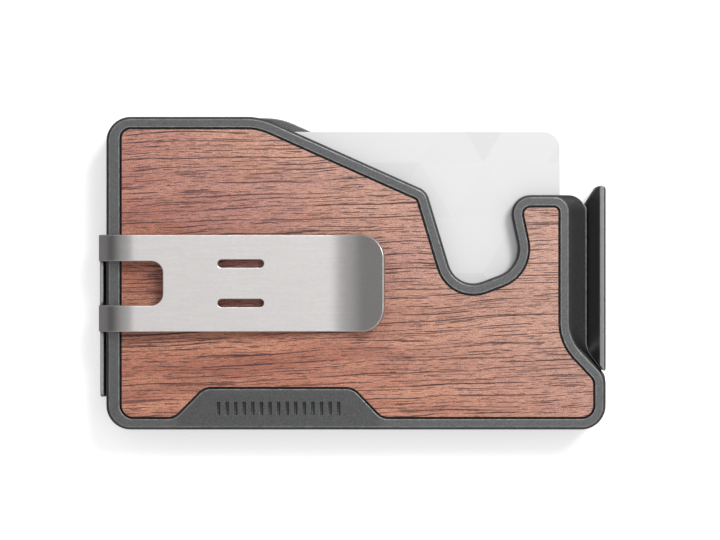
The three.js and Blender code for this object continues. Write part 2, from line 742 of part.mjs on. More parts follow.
/** The lever: a hub, a stepped foot under the cards and a thumb rail with sloping inner faces. */
function lever() {
  const low = SLOT_FLOOR + HUB_GAP;
  const high = SLOT_ROOF - HUB_GAP;
  const webLeft = PIVOT.x - WEB_INSET;
  const railLeft = RIGHT - RAIL_CHAMFER - RAIL_WIDTH;
  const slopeFoot = FLANK_FOOT + CLEARANCE;
  const railTop = FRONT_FACE;
  const railFoot = FIT_GAP;
  const profile = [
    [webLeft, low],
    [slopeFoot, low],
    [railLeft, railFoot],
    [RIGHT - RAIL_CHAMFER, railFoot],
    [RIGHT, railFoot + RAIL_CHAMFER],
    [RIGHT, railTop - RAIL_CHAMFER],
    [RIGHT - RAIL_CHAMFER, railTop],
    [railLeft, railTop],
    [slopeFoot, high],
    [webLeft, high],
  ].map(([x, z]) => new THREE.Vector2(x, z));
  const rail = overlapOf(
    acrossY(profile, LEVER_FOOT - 1, LEVER_TOP + 1),
    prism(leverPlan(), -1, FRONT_FACE + 1),
  );
  const shellRoom = rounded(inset(frontFoot, evenly(-GROOVE_GAP)));
  const clearRail = cut(rail, prism(shellRoom, -2, FRONT_FACE + 2));
  const web = box(
    [webLeft, PIVOT.y, low],
    [RIGHT - 2 * RAIL_CHAMFER, GROOVE_END, high],
  );
  const hub = prism(circle(PIVOT, HUB_RADIUS, HUB_FACETS), low, high);
  const stepTop = (i) =>
    i === CARD_COUNT - 1
      ? high
      : FIRST_CARD_Z + (i + 1) * CARD_PITCH - CARD_GAP / 2;
  const steps = Array.from({ length: CARD_COUNT }, (_, i) =>
    liftStep(
      BACK_FAN_RATIO - i * FAN_RATIO_STEP,
      i ? stepTop(i - 1) : low,
      stepTop(i),
    ),
  );
  const whole = join(clearRail, web, hub, ...steps);
  return cut(
    whole,
    prism(circle(PIVOT, BUSH_RADIUS + FIT_GAP, BUSH_FACETS), low - 1, high + 1),
  );
}

function pivotParts() {
  const low = SLOT_FLOOR + HUB_GAP;
  const high = SLOT_ROOF - HUB_GAP;
  const bush = cut(
    prism(circle(PIVOT, BUSH_RADIUS, BUSH_FACETS), low, high),
    prism(circle(PIVOT, BUSH_BORE, BUSH_FACETS), low - 1, high + 1),
  );
  add("pivot_bush", bush, bronze);
  const washer = (from, to) =>
    cut(
      prism(circle(PIVOT, WASHER_RADIUS, BUSH_FACETS), from, to),
      prism(circle(PIVOT, BUSH_BORE + CLEARANCE, BUSH_FACETS), from - 1, to + 1),
    );
  add(
    "friction_washer_back",
    washer(SLOT_FLOOR + CLEARANCE, low - CLEARANCE),
    nylon,
  );
  add(
    "friction_washer_front",
    washer(high + CLEARANCE, SLOT_ROOF - CLEARANCE),
    nylon,
  );
  const [headRadius, headHeight] = PIVOT_HEAD;
  const screw = turned(PIVOT, [
    [0, CLEARANCE],
    [headRadius - PIVOT_HEAD_CHAMFER, CLEARANCE],
    [headRadius, CLEARANCE + PIVOT_HEAD_CHAMFER],
    [headRadius, headHeight],
    [PIVOT_RADIUS, headHeight],
    [PIVOT_RADIUS, SLOT_ROOF],
    [PIVOT_THREAD, SLOT_ROOF],
    [PIVOT_THREAD, SLOT_ROOF + SCREW_BITE],
    [0, SLOT_ROOF + SCREW_BITE],
  ]);
  add("pivot_screw", cut(screw, socketAt(PIVOT, PIVOT_SOCKET)), blackOxide);
}

// ---------------------------------------------------------------- screws

function socketAt(centre, radius = SOCKET[0]) {
  return prism(circle(centre, radius, SOCKET_FACETS), -1, SOCKET[1] + CLEARANCE);
}

function caseScrew(centre) {
  const [headRadius, headHeight] = SCREW_HEAD;
  const body = turned(
    centre,
    [
      [0, CLEARANCE],
      [headRadius - SCREW_HEAD_CHAMFER, CLEARANCE],
      [headRadius, CLEARANCE + SCREW_HEAD_CHAMFER],
      [headRadius, headHeight],
      [SCREW_RADIUS, headHeight],
      [SCREW_RADIUS, SLOT_ROOF + SCREW_BITE],
      [0, SLOT_ROOF + SCREW_BITE],
    ],
    HOLE_FACETS,
  );
  return cut(body, socketAt(centre));
}

/** A countersunk screw, or with a gap the hole it sits in. */
function countersunk(centre, gap = 0) {
  const low = gap ? -1 : CLEARANCE;
  const seat = CLEARANCE + CLIP_SCREW_HEAD - SCREW_RADIUS;
  const end = CLIP_SCREW_END + (gap ? 1 : 0);
  return turned(
    centre,
    [
      [0, low],
      [CLIP_SCREW_HEAD + gap, low],
      [CLIP_SCREW_HEAD + gap, 2 * CLEARANCE],
      [SCREW_RADIUS + gap, seat],
      [SCREW_RADIUS + gap, end],
      [0, end],
    ],
    HEAD_FACETS,
  );
}

// ---------------------------------------------------------------- the money clip

// The outlines that trim the clip end clear of the case, where their corners touch nothing.
const CUTTER_END = LEFT - 5;
const CUTTER_RADIUS = 0.5;

/** The outline of a strip of steel of the given thickness along a line through its middle. */
function strip(line, thickness) {
  const side = (sign) =>
    line.map((point, i) => {
      const before = line[Math.max(i - 1, 0)];
      const after = line[Math.min(i + 1, line.length - 1)];
      const along = after.clone().sub(before).normalize();
      return point
        .clone()
        .add(
          new THREE.Vector2(-along.y, along.x).multiplyScalar(
            (sign * thickness) / 2,
          ),
        );
    });
  return [...side(1), ...side(-1).reverse()];
}

/** Points on an arc, from one angle to another. */
function arc(centre, radius, from, to, steps) {
  return Array.from({ length: steps + 1 }, (_, i) =>
    new THREE.Vector2(radius, 0)
      .rotateAround(new THREE.Vector2(), from + ((to - from) * i) / steps)
      .add(centre),
  );
}

/** The slope of the line that runs over one circle and under another further along. */
function slopeBetween(over, overRadius, under, underRadius) {
  const apart = under.clone().sub(over);
  return apart.angle() - Math.asin((overRadius + underRadius) / apart.length());
}

/** The sprung leaf: up the case's end, round the large bend, along the front and up at the tip. */
function clipLeaf() {
  const bend = new THREE.Vector2(
    CLIP_MIDDLE_X + CLIP_BEND,
    FRONT_FACE + CLIP_RISE - CLIP_BEND,
  );
  const flare = new THREE.Vector2(
    LEFT + CLIP_CONTACT,
    FRONT_FACE + CLIP_TOUCH_GAP + STEEL / 2 + CLIP_FLARE_RADIUS,
  );
  const slope = slopeBetween(bend, CLIP_BEND, flare, CLIP_FLARE_RADIUS);
  const up = Math.PI / 2;
  const bendLine = arc(bend, CLIP_BEND, Math.PI, up + slope, CLIP_BEND_FACETS);
  const flareLine = arc(
    flare,
    CLIP_FLARE_RADIUS,
    slope - up,
    CLIP_FLARE - up,
    FOOT_BEND_FACETS,
  );
  const flareEnd = flareLine.at(-1);
  const tipX = LEFT + CLIP_TIP;
  const tip = new THREE.Vector2(
    tipX,
    flareEnd.y + (tipX - flareEnd.x) * Math.tan(CLIP_FLARE),
  );
  const foot = new THREE.Vector2(CLIP_MIDDLE_X, CLIP_FLEX_LINE + FIT_GAP);
  const body = acrossY(
    strip([foot, ...bendLine, ...flareLine, tip], STEEL),
    CLIP_LOW_EDGE,
    CLIP_TOP_EDGE,
  );
  const plan = rounded(
    [
      corner(CUTTER_END, CLIP_LOW_EDGE - 1, CUTTER_RADIUS),
      corner(CUTTER_END + 1, CLIP_LOW_EDGE, CUTTER_RADIUS),
      corner(tipX, CLIP_LOW_EDGE, CLIP_TIP_CORNER),
      corner(tipX, CLIP_TOP_EDGE, CLIP_TIP_CORNER),
      corner(CUTTER_END + 1, CLIP_TOP_EDGE, CUTTER_RADIUS),
      corner(CUTTER_END, CLIP_TOP_EDGE + 1, CUTTER_RADIUS),
    ],
    CORNER_FACETS,
  );
  const trimmed = overlapOf(body, prism(plan, 0, 2 * FRONT_FACE));
  const half = WINDOW_WIDTH / 2;
  const window = prism(
    rounded([
      corner(CUTTER_END, CLIP_CENTRE - half, CUTTER_RADIUS),
      corner(LEFT + WINDOW_END, CLIP_CENTRE - half, WINDOW_CORNER),
      corner(LEFT + WINDOW_END, CLIP_CENTRE + half, WINDOW_CORNER),
      corner(CUTTER_END, CLIP_CENTRE + half, CUTTER_RADIUS),
    ]),
    WINDOW_SILL,
    2 * FRONT_FACE,
  );
  const slots = [-0.5, 0.5].map((side) => {
    const x = LEFT + SLOT_X;
    const y = CLIP_CENTRE + side * SLOT_SPACING;
    const outline = rectangle(
      x - SLOT_LENGTH / 2,
      y - SLOT_WIDTH / 2,
      x + SLOT_LENGTH / 2,
      y + SLOT_WIDTH / 2,
      SLOT_WIDTH / 2 - CLEARANCE,
    );
    return prism(outline, WINDOW_SILL, 2 * FRONT_FACE);
  });
  return cut(trimmed, window, ...slots);
}

/** The clip's wider base: it wraps the case's left end and lies in the back shell's recess. */
function clipBase() {
  const legHeight = CLEARANCE + STEEL / 2;
  const bend = new THREE.Vector2(
    CLIP_MIDDLE_X + CLIP_FOOT_BEND,
    legHeight + CLIP_FOOT_BEND,
  );
  const line = [
    new THREE.Vector2(CLIP_MIDDLE_X, CLIP_FLEX_LINE - FIT_GAP),
    ...arc(bend, CLIP_FOOT_BEND, Math.PI, 1.5 * Math.PI, FOOT_BEND_FACETS),
    new THREE.Vector2(LEFT + BASE_LEG_END, legHeight),
  ];
  const body = acrossY(strip(line, STEEL), BASE_BOTTOM, CLIP_TOP_EDGE);
  const plan = rounded([
    corner(CUTTER_END, BASE_BOTTOM, CUTTER_RADIUS),
    corner(LEFT + BASE_LEG_END, BASE_BOTTOM, BASE_CORNER),
    corner(LEFT + BASE_LEG_END, CLIP_TOP_EDGE, BASE_CORNER),
    corner(CUTTER_END, CLIP_TOP_EDGE, CUTTER_RADIUS),
  ]);
  const trimmed = overlapOf(body, prism(plan, -1, 2 * FRONT_FACE));
  const seats = CLIP_SCREWS.map((centre) => countersunk(centre, FIT_GAP));
  return cut(trimmed, ...seats);
}

// ---------------------------------------------------------------- cards and spring

function card(low) {
  return prism(
    rectangle(
      CARD_LEFT,
      CARD_BOTTOM,
      CARD_LEFT + CARD_LENGTH,
      CARD_TOP,
      CARD_CORNER,
    ),
    low,
    low + CARD_THICKNESS,
  );
}

/** A bowed leaf in a pocket of the back shell that presses the cards together. */
function pressureSpring() {
  const half = SPRING_LENGTH / 2;
  const foot = SLOT_FLOOR - SPRING_POCKET + CLEARANCE + SPRING_STEEL / 2;
  const crown = FIRST_CARD_Z - SPRING_GAP - SPRING_STEEL / 2;
  const rise = crown - foot;
  const radius = (half * half + rise * rise) / (2 * rise);
  const centre = new THREE.Vector2(SPRING_CENTRE[0], crown - radius);
  const reach = Math.asin(half / radius);
  const line = arc(
    centre,
    radius,
    Math.PI / 2 + reach,
    Math.PI / 2 - reach,
    SPRING_FACETS,
  );
  return acrossY(
    strip(line, SPRING_STEEL),
    SPRING_CENTRE[1] - SPRING_WIDTH / 2,
    SPRING_CENTRE[1] + SPRING_WIDTH / 2,
  );
}

// ---------------------------------------------------------------- the assembly

add("front_shell", frontShell(), anodised);
add(
  "front_panel",
  panel(frontPocket(), FRONT_FACE - PANEL_SINK - PANEL_THICKNESS),
  walnut,
);
add("back_shell", backShell(), anodised);
add("back_panel", panel(backPocket(), 0), walnut);
add("middle_frame", middleFrame(), anodised);
add("lever", lever(), anodised);
pivotParts();
add("pressure_spring", pressureSpring(), brushedSteel);
for (let i = 0; i < CARD_COUNT; i++) {
  add(
    `card_${CARD_COUNT - i}`,
    card(FIRST_CARD_Z + i * CARD_PITCH),
    cardPlastic,
  );
}
add("clip_leaf", clipLeaf(), brushedSteel);
add("clip_base", clipBase(), brushedSteel);
CLIP_SCREWS.forEach((centre, i) => {
  const screw = cut(countersunk(centre), socketAt(centre));
  add(`clip_screw_${i + 1}`, screw, blackOxide);
});
CASE_SCREWS.forEach((centre, i) => {
  add(`case_screw_${i + 1}`, caseScrew(centre), blackOxide);
});

export default model;
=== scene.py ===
"""A rigid card holder: wood-faced metal shells, a lever that fans the cards and a money clip.

Every piece is modelled in metres where the frame holds it and dressed in a procedural finish, and
each piece but the clip rides on the body that carries it.
"""

from __future__ import annotations

import json
import logging
import math
from collections.abc import Iterator, Sequence
from contextlib import contextmanager
from dataclasses import dataclass
from enum import Enum

import bpy
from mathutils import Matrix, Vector

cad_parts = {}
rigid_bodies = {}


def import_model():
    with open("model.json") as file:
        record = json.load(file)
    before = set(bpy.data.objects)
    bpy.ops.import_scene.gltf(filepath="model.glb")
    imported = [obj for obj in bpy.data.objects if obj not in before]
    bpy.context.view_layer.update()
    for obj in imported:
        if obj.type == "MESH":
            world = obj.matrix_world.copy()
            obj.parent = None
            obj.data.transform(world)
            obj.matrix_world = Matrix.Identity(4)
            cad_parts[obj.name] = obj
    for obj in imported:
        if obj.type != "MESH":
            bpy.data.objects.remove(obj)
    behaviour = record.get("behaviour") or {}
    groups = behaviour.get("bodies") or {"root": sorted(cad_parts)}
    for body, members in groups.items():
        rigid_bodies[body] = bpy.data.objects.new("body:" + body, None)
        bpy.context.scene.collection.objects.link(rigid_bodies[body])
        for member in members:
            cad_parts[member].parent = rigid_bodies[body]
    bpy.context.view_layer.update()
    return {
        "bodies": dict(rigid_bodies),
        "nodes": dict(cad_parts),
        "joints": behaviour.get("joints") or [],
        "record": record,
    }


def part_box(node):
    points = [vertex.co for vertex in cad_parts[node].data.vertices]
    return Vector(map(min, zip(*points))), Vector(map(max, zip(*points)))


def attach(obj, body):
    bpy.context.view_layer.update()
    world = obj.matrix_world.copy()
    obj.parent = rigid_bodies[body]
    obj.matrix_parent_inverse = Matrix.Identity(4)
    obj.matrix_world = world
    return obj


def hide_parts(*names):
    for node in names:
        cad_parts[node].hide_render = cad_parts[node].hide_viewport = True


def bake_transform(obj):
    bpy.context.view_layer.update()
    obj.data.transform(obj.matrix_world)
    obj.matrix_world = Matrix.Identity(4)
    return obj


LOG = logging.getLogger("card_holder")
MM = 0.001
Colour = tuple[float, float, float]
Socket = bpy.types.NodeSocket
Piece = bpy.types.Object


# ------------------------------------------------------------------ the bench


class Bench:
    """Blender's own tools, each made to act on one piece alone."""

    WELD = 0.002 * MM  # points nearer than this become one
    SPECK = 0.01 * MM  # edges shorter than this are dropped
    FLATNESS = 0.6  # degrees between faces that still count as one flat
    FACE_WEIGHT = 80  # how strongly large faces set the shading

    @staticmethod
    def take(piece: Piece) -> None:
        """Make a piece the only selected one, and the active one.

        Args:
            piece: The piece to select.
        """
        bpy.ops.object.select_all(action="DESELECT")
        piece.select_set(True)
        bpy.context.view_layer.objects.active = piece

    @staticmethod
    @contextmanager
    def editing(piece: Piece) -> Iterator[None]:
        """Hold a piece in edit mode with all of it selected.

        Args:
            piece: The piece to edit.

        Yields:
            Nothing, while the piece is held.
        """
        Bench.take(piece)
        bpy.ops.object.mode_set(mode="EDIT")
        bpy.ops.mesh.select_all(action="SELECT")
        yield
        bpy.ops.object.mode_set(mode="OBJECT")

    @staticmethod
    def added(name: str) -> Piece:
        """Name the primitive that was just added, and put its place into its mesh.

        Args:
            name: The piece's name.

        Returns:
            The piece.
        """
        piece = bpy.context.active_object
        piece.name = name
        Bench.take(piece)
        bpy.ops.object.transform_apply(location=True, rotation=True, scale=True)
        return piece

    @staticmethod
    def modify(piece: Piece, kind: str, **settings: object) -> None:
        """Add one modifier and apply it.

        Args:
            piece: The piece to change.
            kind: The modifier's type.
            settings: The modifier's own values.
        """
        Bench.take(piece)
        modifier = piece.modifiers.new(kind.lower(), kind)
        for key, value in settings.items():
            setattr(modifier, key, value)
        bpy.ops.object.modifier_apply(modifier=modifier.name)

    @staticmethod
    def ease(piece: Piece, width: float, segments: int = 2, angle: float = 25) -> None:
        """Round every edge that is sharper than an angle.

        Args:
            piece: The piece to change.
            width: How far the rounding reaches, in metres.
            segments: How many facets make the round.
            angle: The least bend between two faces that is rounded, in degrees.
        """
        Bench.modify(
            piece,
            "BEVEL",
            width=width,
            segments=segments,
            limit_method="ANGLE",
            angle_limit=math.radians(angle),
            use_clamp_overlap=False,
        )

    @staticmethod
    def smooth(piece: Piece, angle: float = 40) -> None:
        """Shade a piece smoothly, with its large faces kept flat.

        Args:
            piece: The piece to shade.
            angle: Edges sharper than this stay sharp, in degrees.
        """
        Bench.take(piece)
        bpy.ops.object.shade_smooth_by_angle(angle=math.radians(angle))
        Bench.modify(piece, "WEIGHTED_NORMAL", keep_sharp=True, weight=Bench.FACE_WEIGHT)

    @staticmethod
    def copy_of(node: str, name: str) -> Piece:
        """Copy a CAD node as one welded mesh whose flat stretches are single faces.

        Args:
            node: The CAD node.
            name: The new piece's name.

        Returns:
            The copy, with no parent.
        """
        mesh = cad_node(node).data.copy()
        piece = bpy.data.objects.new(name, mesh)
        bpy.context.scene.collection.objects.link(piece)
        mesh.materials.clear()
        with Bench.editing(piece):
            bpy.ops.mesh.remove_doubles(threshold=Bench.WELD)
            bpy.ops.mesh.dissolve_degenerate(threshold=Bench.SPECK)
            bpy.ops.mesh.select_all(action="SELECT")
            bpy.ops.mesh.dissolve_limited(angle_limit=math.radians(Bench.FLATNESS))
        return piece


FRAME: dict[str, dict] = {}


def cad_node(name: str) -> Piece:
    """The loaded CAD node of that name."""
    return FRAME["nodes"][name]


# ------------------------------------------------------------------ outlines and plates

ARC_STEP = 5.0  # degrees of arc to each segment of a rounded corner
RIM_STEPS = 2  # how finely a plate's rim is rounded
PLATE_WELD = 0.001 * MM


@dataclass(frozen=True)
class Corner:
    """A corner of an outline: its sharp point and the radius that rounds it, in metres."""

    x: float
    y: float
    radius: float = 0.0


def rounded(corners: Sequence[Corner], step: float = ARC_STEP) -> list[Vector]:
    """Turn an outline's corners into arcs.

    Args:
        corners: The corners in order.
        step: The arc that each segment covers, in degrees.

    Returns:
        The outline's points.
    """
    points: list[Vector] = []
    for index, here in enumerate(corners):
        at = Vector((here.x, here.y))
        before = corners[index - 1]
        after = corners[(index + 1) % len(corners)]
        back = (Vector((before.x, before.y)) - at).normalized()
        onward = (Vector((after.x, after.y)) - at).normalized()
        half = back.angle(onward) / 2
        centre = at + (back + onward).normalized() * (here.radius / math.sin(half))
        start = at + back * (here.radius / math.tan(half)) - centre
        turn = math.pi - 2 * half
        if back.cross(onward) > 0:
            turn = -turn
        steps = max(round(abs(math.degrees(turn)) / step), 1) if here.radius else 0
        for part in range(steps + 1):
            angle = turn * part / steps if steps else 0.0
            cosine, sine = math.cos(angle), math.sin(angle)
            arm = Vector(
                (start.x * cosine - start.y * sine, start.x * sine + start.y * cosine)
            )
            points.append(centre + arm)
    return points


def box_outline(
    left: float, low: float, right: float, high: float, radius: float
) -> list[Vector]:
    """A rounded rectangle.

    Args:
        left: Its least X.
        low: Its least Y.
        right: Its greatest X.
        high: Its greatest Y.
        radius: The radius of its corners.

    Returns:
        The rectangle's points.
    """
    corners = ((left, low), (right, low), (right, high), (left, high))
    return rounded([Corner(x, y, radius) for x, y in corners])


def plate(
    name: str, outlines: Sequence[Sequence[Vector]], low: float, high: float, edge: float
) -> Piece:
    """Make a flat plate with rounded rims from its outline and the outlines of its holes.

    Args:
        name: The piece's name.
        outlines: The outer outline, then any holes.
        low: The height of the plate's underside.
        high: The height of its top.
        edge: The radius of its rims.

    Returns:
        A closed mesh.
    """
    curve = bpy.data.curves.new(name, "CURVE")
    curve.dimensions = "2D"
    curve.fill_mode = "BOTH"
    for outline in outlines:
        spline = curve.splines.new("POLY")
        spline.points.add(len(outline) - 1)
        for point, place in zip(spline.points, outline):
            point.co = (place.x, place.y, 0, 1)
        spline.use_cyclic_u = True
    curve.extrude = (high - low) / 2 - edge
    curve.bevel_depth = edge
    curve.bevel_resolution = RIM_STEPS
    curve.offset = -edge
    piece = bpy.data.objects.new(name, curve)
    bpy.context.scene.collection.objects.link(piece)
    Bench.take(piece)
    bpy.ops.object.convert(target="MESH")
    piece = bpy.context.active_object
    piece.location.z = (low + high) / 2
    bpy.ops.object.transform_apply(location=True, rotation=True, scale=True)
    with Bench.editing(piece):
        bpy.ops.mesh.remove_doubles(threshold=PLATE_WELD)
        bpy.ops.mesh.normals_make_consistent(inside=False)
    return piece


# ------------------------------------------------------------------ node trees


class Tree:
    """A node tree, with short ways to add nodes and join them."""

    def __init__(self, tree: bpy.types.NodeTree) -> None:
        """Hold the tree."""
        self.tree = tree

    def node(self, kind: str, settings: dict | None = None, **inputs: object) -> bpy.types.Node:
        """Add a node.

        Args:
            kind: The node's type, without its ShaderNode prefix.
            settings: Attributes of the node itself.
            inputs: Values or sockets for its inputs, with _ for each space in a name.

        Returns:
            The node.
        """
        node = self.tree.nodes.new("ShaderNode" + kind)
        for key, value in (settings or {}).items():
            setattr(node, key, value)
        for key, value in inputs.items():
            self.feed(node.inputs[key.replace("_", " ")], value)
        return node

    def feed(self, socket: Socket, value: object) -> None:
        """Join a socket to an input, or set the input's plain value.

        Args:
            socket: The input.
            value: The socket to join to it, or the value to give it.
        """
        if isinstance(value, bpy.types.NodeSocket):
            self.tree.links.new(value, socket)
        elif isinstance(value, tuple) and len(value) == 3 and socket.type == "RGBA":
            socket.default_value = (*value, 1.0)
        else:
            socket.default_value = value

    def math(self, operation: str, *values: object) -> Socket:
        """Do one sum.

        Args:
            operation: The Math node's operation.
            values: The values or sockets that it works on.

        Returns:
            The result.
        """
        node = self.node("Math", {"operation": operation})
        for socket, value in zip(node.inputs, values):
            self.feed(socket, value)
        return node.outputs[0]

    def remap(
        self, value: object, low: float, high: float, to_low: float = 0.0, to_high: float = 1.0
    ) -> Socket:
        """Carry a range of values smoothly to another range.

        Args:
            value: The value or socket to carry.
            low: Where the first range starts.
            high: Where it ends.
            to_low: Where the second range starts.
            to_high: Where it ends.

        Returns:
            The carried value.
        """
        node = self.node("MapRange", {"interpolation_type": "SMOOTHSTEP"}, Value=value)
        names = ("From Min", "From Max", "To Min", "To Max")
        for name, number in zip(names, (low, high, to_low, to_high)):
            node.inputs[name].default_value = number
        return node.outputs["Result"]

    def colours(self, share: object, first: object, second: object, how: str = "MIX") -> Socket:
        """Mix two colours.

        Args:
            share: How much of the second colour shows.
            first: The first colour.
            second: The second colour.
            how: The blend's type.

        Returns:
            The mixed colour.
        """
        node = self.node("Mix", {"data_type": "RGBA", "blend_type": how})
        for index, value in ((0, share), (6, first), (7, second)):
            self.feed(node.inputs[index], value)
        return node.outputs[2]

    def grey(self, value: Socket) -> Socket:
        """A grey of that value."""
        return self.node("CombineColor", Red=value, Green=value, Blue=value).outputs[0]

    def place(self) -> Socket:
        """The point's place on its piece."""
        return self.node("TexCoord").outputs["Object"]

    def place_along(self, axis: str) -> Socket:
        """The point's place along one axis: X, Y or Z."""
        return self.node("SeparateXYZ", Vector=self.place()).outputs[axis]

    def group(self, shared: bpy.types.NodeTree, **inputs: object) -> bpy.types.Node:
        """Place a shared effect in this tree.

        Args:
            shared: The effect's node group.
            inputs: Its values, with _ for each space in a name.

        Returns:
            The group's node.
        """
        node = self.tree.nodes.new("ShaderNodeGroup")
        node.node_tree = shared
        for key, value in inputs.items():
            self.feed(node.inputs[key.replace("_", " ")], value)
        return node


class Effect(Enum):
    """The effects that more than one finish uses."""

    GRAIN = "stretched_grain"
    WEAR = "edge_wear_and_highlight"
    HANDLING = "handling"


class Effects:
    """Builds each shared effect once, as a node group."""

    FIBRE_ROUGHNESS = 0.55
    EDGE_SAMPLES = 6
    FLAT_LEAN = 0.9992  # cosine between the true and the eased normal where no edge is brightened
    BARE_LEAN = 0.983  # and where an edge is fully brightened
    CHIP_SCALE = 900.0
    CHIP_DETAIL = 4.0
    CHIP_SPAN = (0.35, 0.65, 0.45, 1.0)  # noise, and the share of the bright edge it leaves
    CLOUD_DETAIL = 5.0
    CLOUD_ROUGHNESS = 0.6

    @staticmethod
    def get(effect: Effect) -> bpy.types.NodeTree:
        """The effect's node group, built when it is first asked for.

        Args:
            effect: The effect.

        Returns:
            Its node group.
        """
        found = bpy.data.node_groups.get(effect.value)
        if found:
            return found
        makers = {
            Effect.GRAIN: Effects._grain,
            Effect.WEAR: Effects._wear_and_highlight,
            Effect.HANDLING: Effects._handling,
        }
        return makers[effect]()

    @staticmethod
    def _start(
        effect: Effect, inputs: dict[str, float], outputs: Sequence[str]
    ) -> tuple[Tree, bpy.types.Node, bpy.types.Node]:
        """Open a group with its sockets.

        Args:
            effect: The effect to build.
            inputs: The inputs' names and values.
            outputs: The outputs' names.

        Returns:
            The tree, its input node and its output node.
        """
        shared = bpy.data.node_groups.new(effect.value, "ShaderNodeTree")
        for name, value in inputs.items():
            socket = shared.interface.new_socket(
                name=name, in_out="INPUT", socket_type="NodeSocketFloat"
            )
            socket.default_value = value
        for name in outputs:
            shared.interface.new_socket(
                name=name, in_out="OUTPUT", socket_type="NodeSocketFloat"
            )
        entry = shared.nodes.new("NodeGroupInput")
        end = shared.nodes.new("NodeGroupOutput")
        return Tree(shared), entry, end

    @staticmethod
    def _grain() -> bpy.types.NodeTree:
        """Noise stretched along X.

        Length and Width are the size of one fibre and Drift is how far it has risen, in metres.

        Returns:
            The node group.
        """
        tree, entry, end = Effects._start(
            Effect.GRAIN,
            {"Length": 0.01, "Width": 0.001, "Drift": 0.0, "Shift": 0.0, "Detail": 3.0},
            ["Value"],
        )
        along = tree.math("DIVIDE", 1.0, entry.outputs["Length"])
        across = tree.math("DIVIDE", 1.0, entry.outputs["Width"])
        scale = tree.node("CombineXYZ", X=along, Y=across, Z=across)
        shift = tree.node("CombineXYZ", X=entry.outputs["Shift"], Y=entry.outputs["Shift"])
        drift = tree.node("CombineXYZ", Y=entry.outputs["Drift"])
        moved = tree.node("VectorMath", {"operation": "SUBTRACT"})
        tree.feed(moved.inputs[0], tree.place())
        tree.feed(moved.inputs[1], drift.outputs[0])
        placed = tree.node(
            "Mapping", Vector=moved.outputs[0], Scale=scale.outputs[0], Location=shift.outputs[0]
        )
        noise = tree.node(
            "TexNoise", Vector=placed.outputs[0], Scale=1.0,
            Detail=entry.outputs["Detail"], Roughness=Effects.FIBRE_ROUGHNESS,
        )
        tree.feed(end.inputs["Value"], noise.outputs[0])
        return tree.tree

    @staticmethod
    def _wear_and_highlight() -> bpy.types.NodeTree:
        """Bright edges, as bare wear and as painted highlight: where the surface bends within
        Reach, broken up by a fine noise.

        Returns:
            The node group.
        """
        tree, entry, end = Effects._start(
            Effect.WEAR, {"Reach": 0.2 * MM, "Amount": 1.0}, ["Mask"]
        )
        eased = tree.node(
            "Bevel", {"samples": Effects.EDGE_SAMPLES}, Radius=entry.outputs["Reach"]
        )
        face = tree.node("NewGeometry")
        lean = tree.node("VectorMath", {"operation": "DOT_PRODUCT"})
        tree.feed(lean.inputs[0], eased.outputs[0])
        tree.feed(lean.inputs[1], face.outputs["Normal"])
        bend = tree.remap(lean.outputs["Value"], Effects.FLAT_LEAN, Effects.BARE_LEAN)
        noise = tree.node(
            "TexNoise", Vector=tree.place(), Scale=Effects.CHIP_SCALE, Detail=Effects.CHIP_DETAIL
        )
        chipped = tree.math("MULTIPLY", bend, tree.remap(noise.outputs[0], *Effects.CHIP_SPAN))
        mask = tree.math("MULTIPLY", chipped, entry.outputs["Amount"])
        tree.feed(end.inputs["Mask"], mask)
        return tree.tree

    @staticmethod
    def _handling() -> bpy.types.NodeTree:
        """Faint cloudy marks of handling, Size metres across.

        Returns:
            The node group.
        """
        tree, entry, end = Effects._start(
            Effect.HANDLING, {"Size": 0.02, "Amount": 0.05}, ["Value"]
        )
        scale = tree.math("DIVIDE", 1.0, entry.outputs["Size"])
        noise = tree.node(
            "TexNoise", Vector=tree.place(), Scale=scale,
            Detail=Effects.CLOUD_DETAIL, Roughness=Effects.CLOUD_ROUGHNESS,
        )
        centred = tree.math("SUBTRACT", noise.outputs[0], 0.5)
        value = tree.math("MULTIPLY", centred, entry.outputs["Amount"])
        tree.feed(end.inputs["Value"], value)
        return tree.tree


# ------------------------------------------------------------------ finishes

Span = tuple[float, ...]  # the low and high ends of a range, and those that it is carried to


def scaled(colour: Colour, factor: float, lift: float = 0.0) -> Colour:
    """A colour made lighter or darker, and no brighter than white.

    Args:
        colour: The colour.
        factor: What each part is multiplied by.
        lift: What is then added to it.

    Returns:
        The new colour.
    """
    return tuple(min(factor * part + lift, 1.0) for part in colour)


@dataclass(frozen=True)
class GrainLayer:
    """A layer of stretched noise: one fibre's size in millimetres, and the span it is read over."""

    length: float
    width: float
    shift: float = 0.0
    detail: float = 3.0
    span: Span = (0.0, 1.0)

    def noise(self, tree: Tree, drift: Socket | float = 0.0) -> Socket:
        """The layer's noise.

        Args:
            tree: The tree to build in.
            drift: How far the grain has risen here.

        Returns:
            The noise, round 0.5.
        """
        layer = tree.group(
            Effects.get(Effect.GRAIN), Length=self.length * MM, Width=self.width * MM,
            Drift=drift, Shift=self.shift, Detail=self.detail,
        )
        return layer.outputs[0]

    def read(self, tree: Tree, drift: Socket | float = 0.0) -> Socket:
        """The layer's noise, read over its span."""
        return tree.remap(self.noise(tree, drift), *self.span)


@dataclass(frozen=True)
class Relief:
    """Fine bumps: how strongly they catch the light, and their height in metres."""

    strength: float
    depth: float

    def over(self, tree: Tree, height: Socket) -> Socket:
        """The normals that a height gives."""
        bump = tree.node("Bump", Strength=self.strength, Distance=self.depth, Height=height)
        return bump.outputs[0]


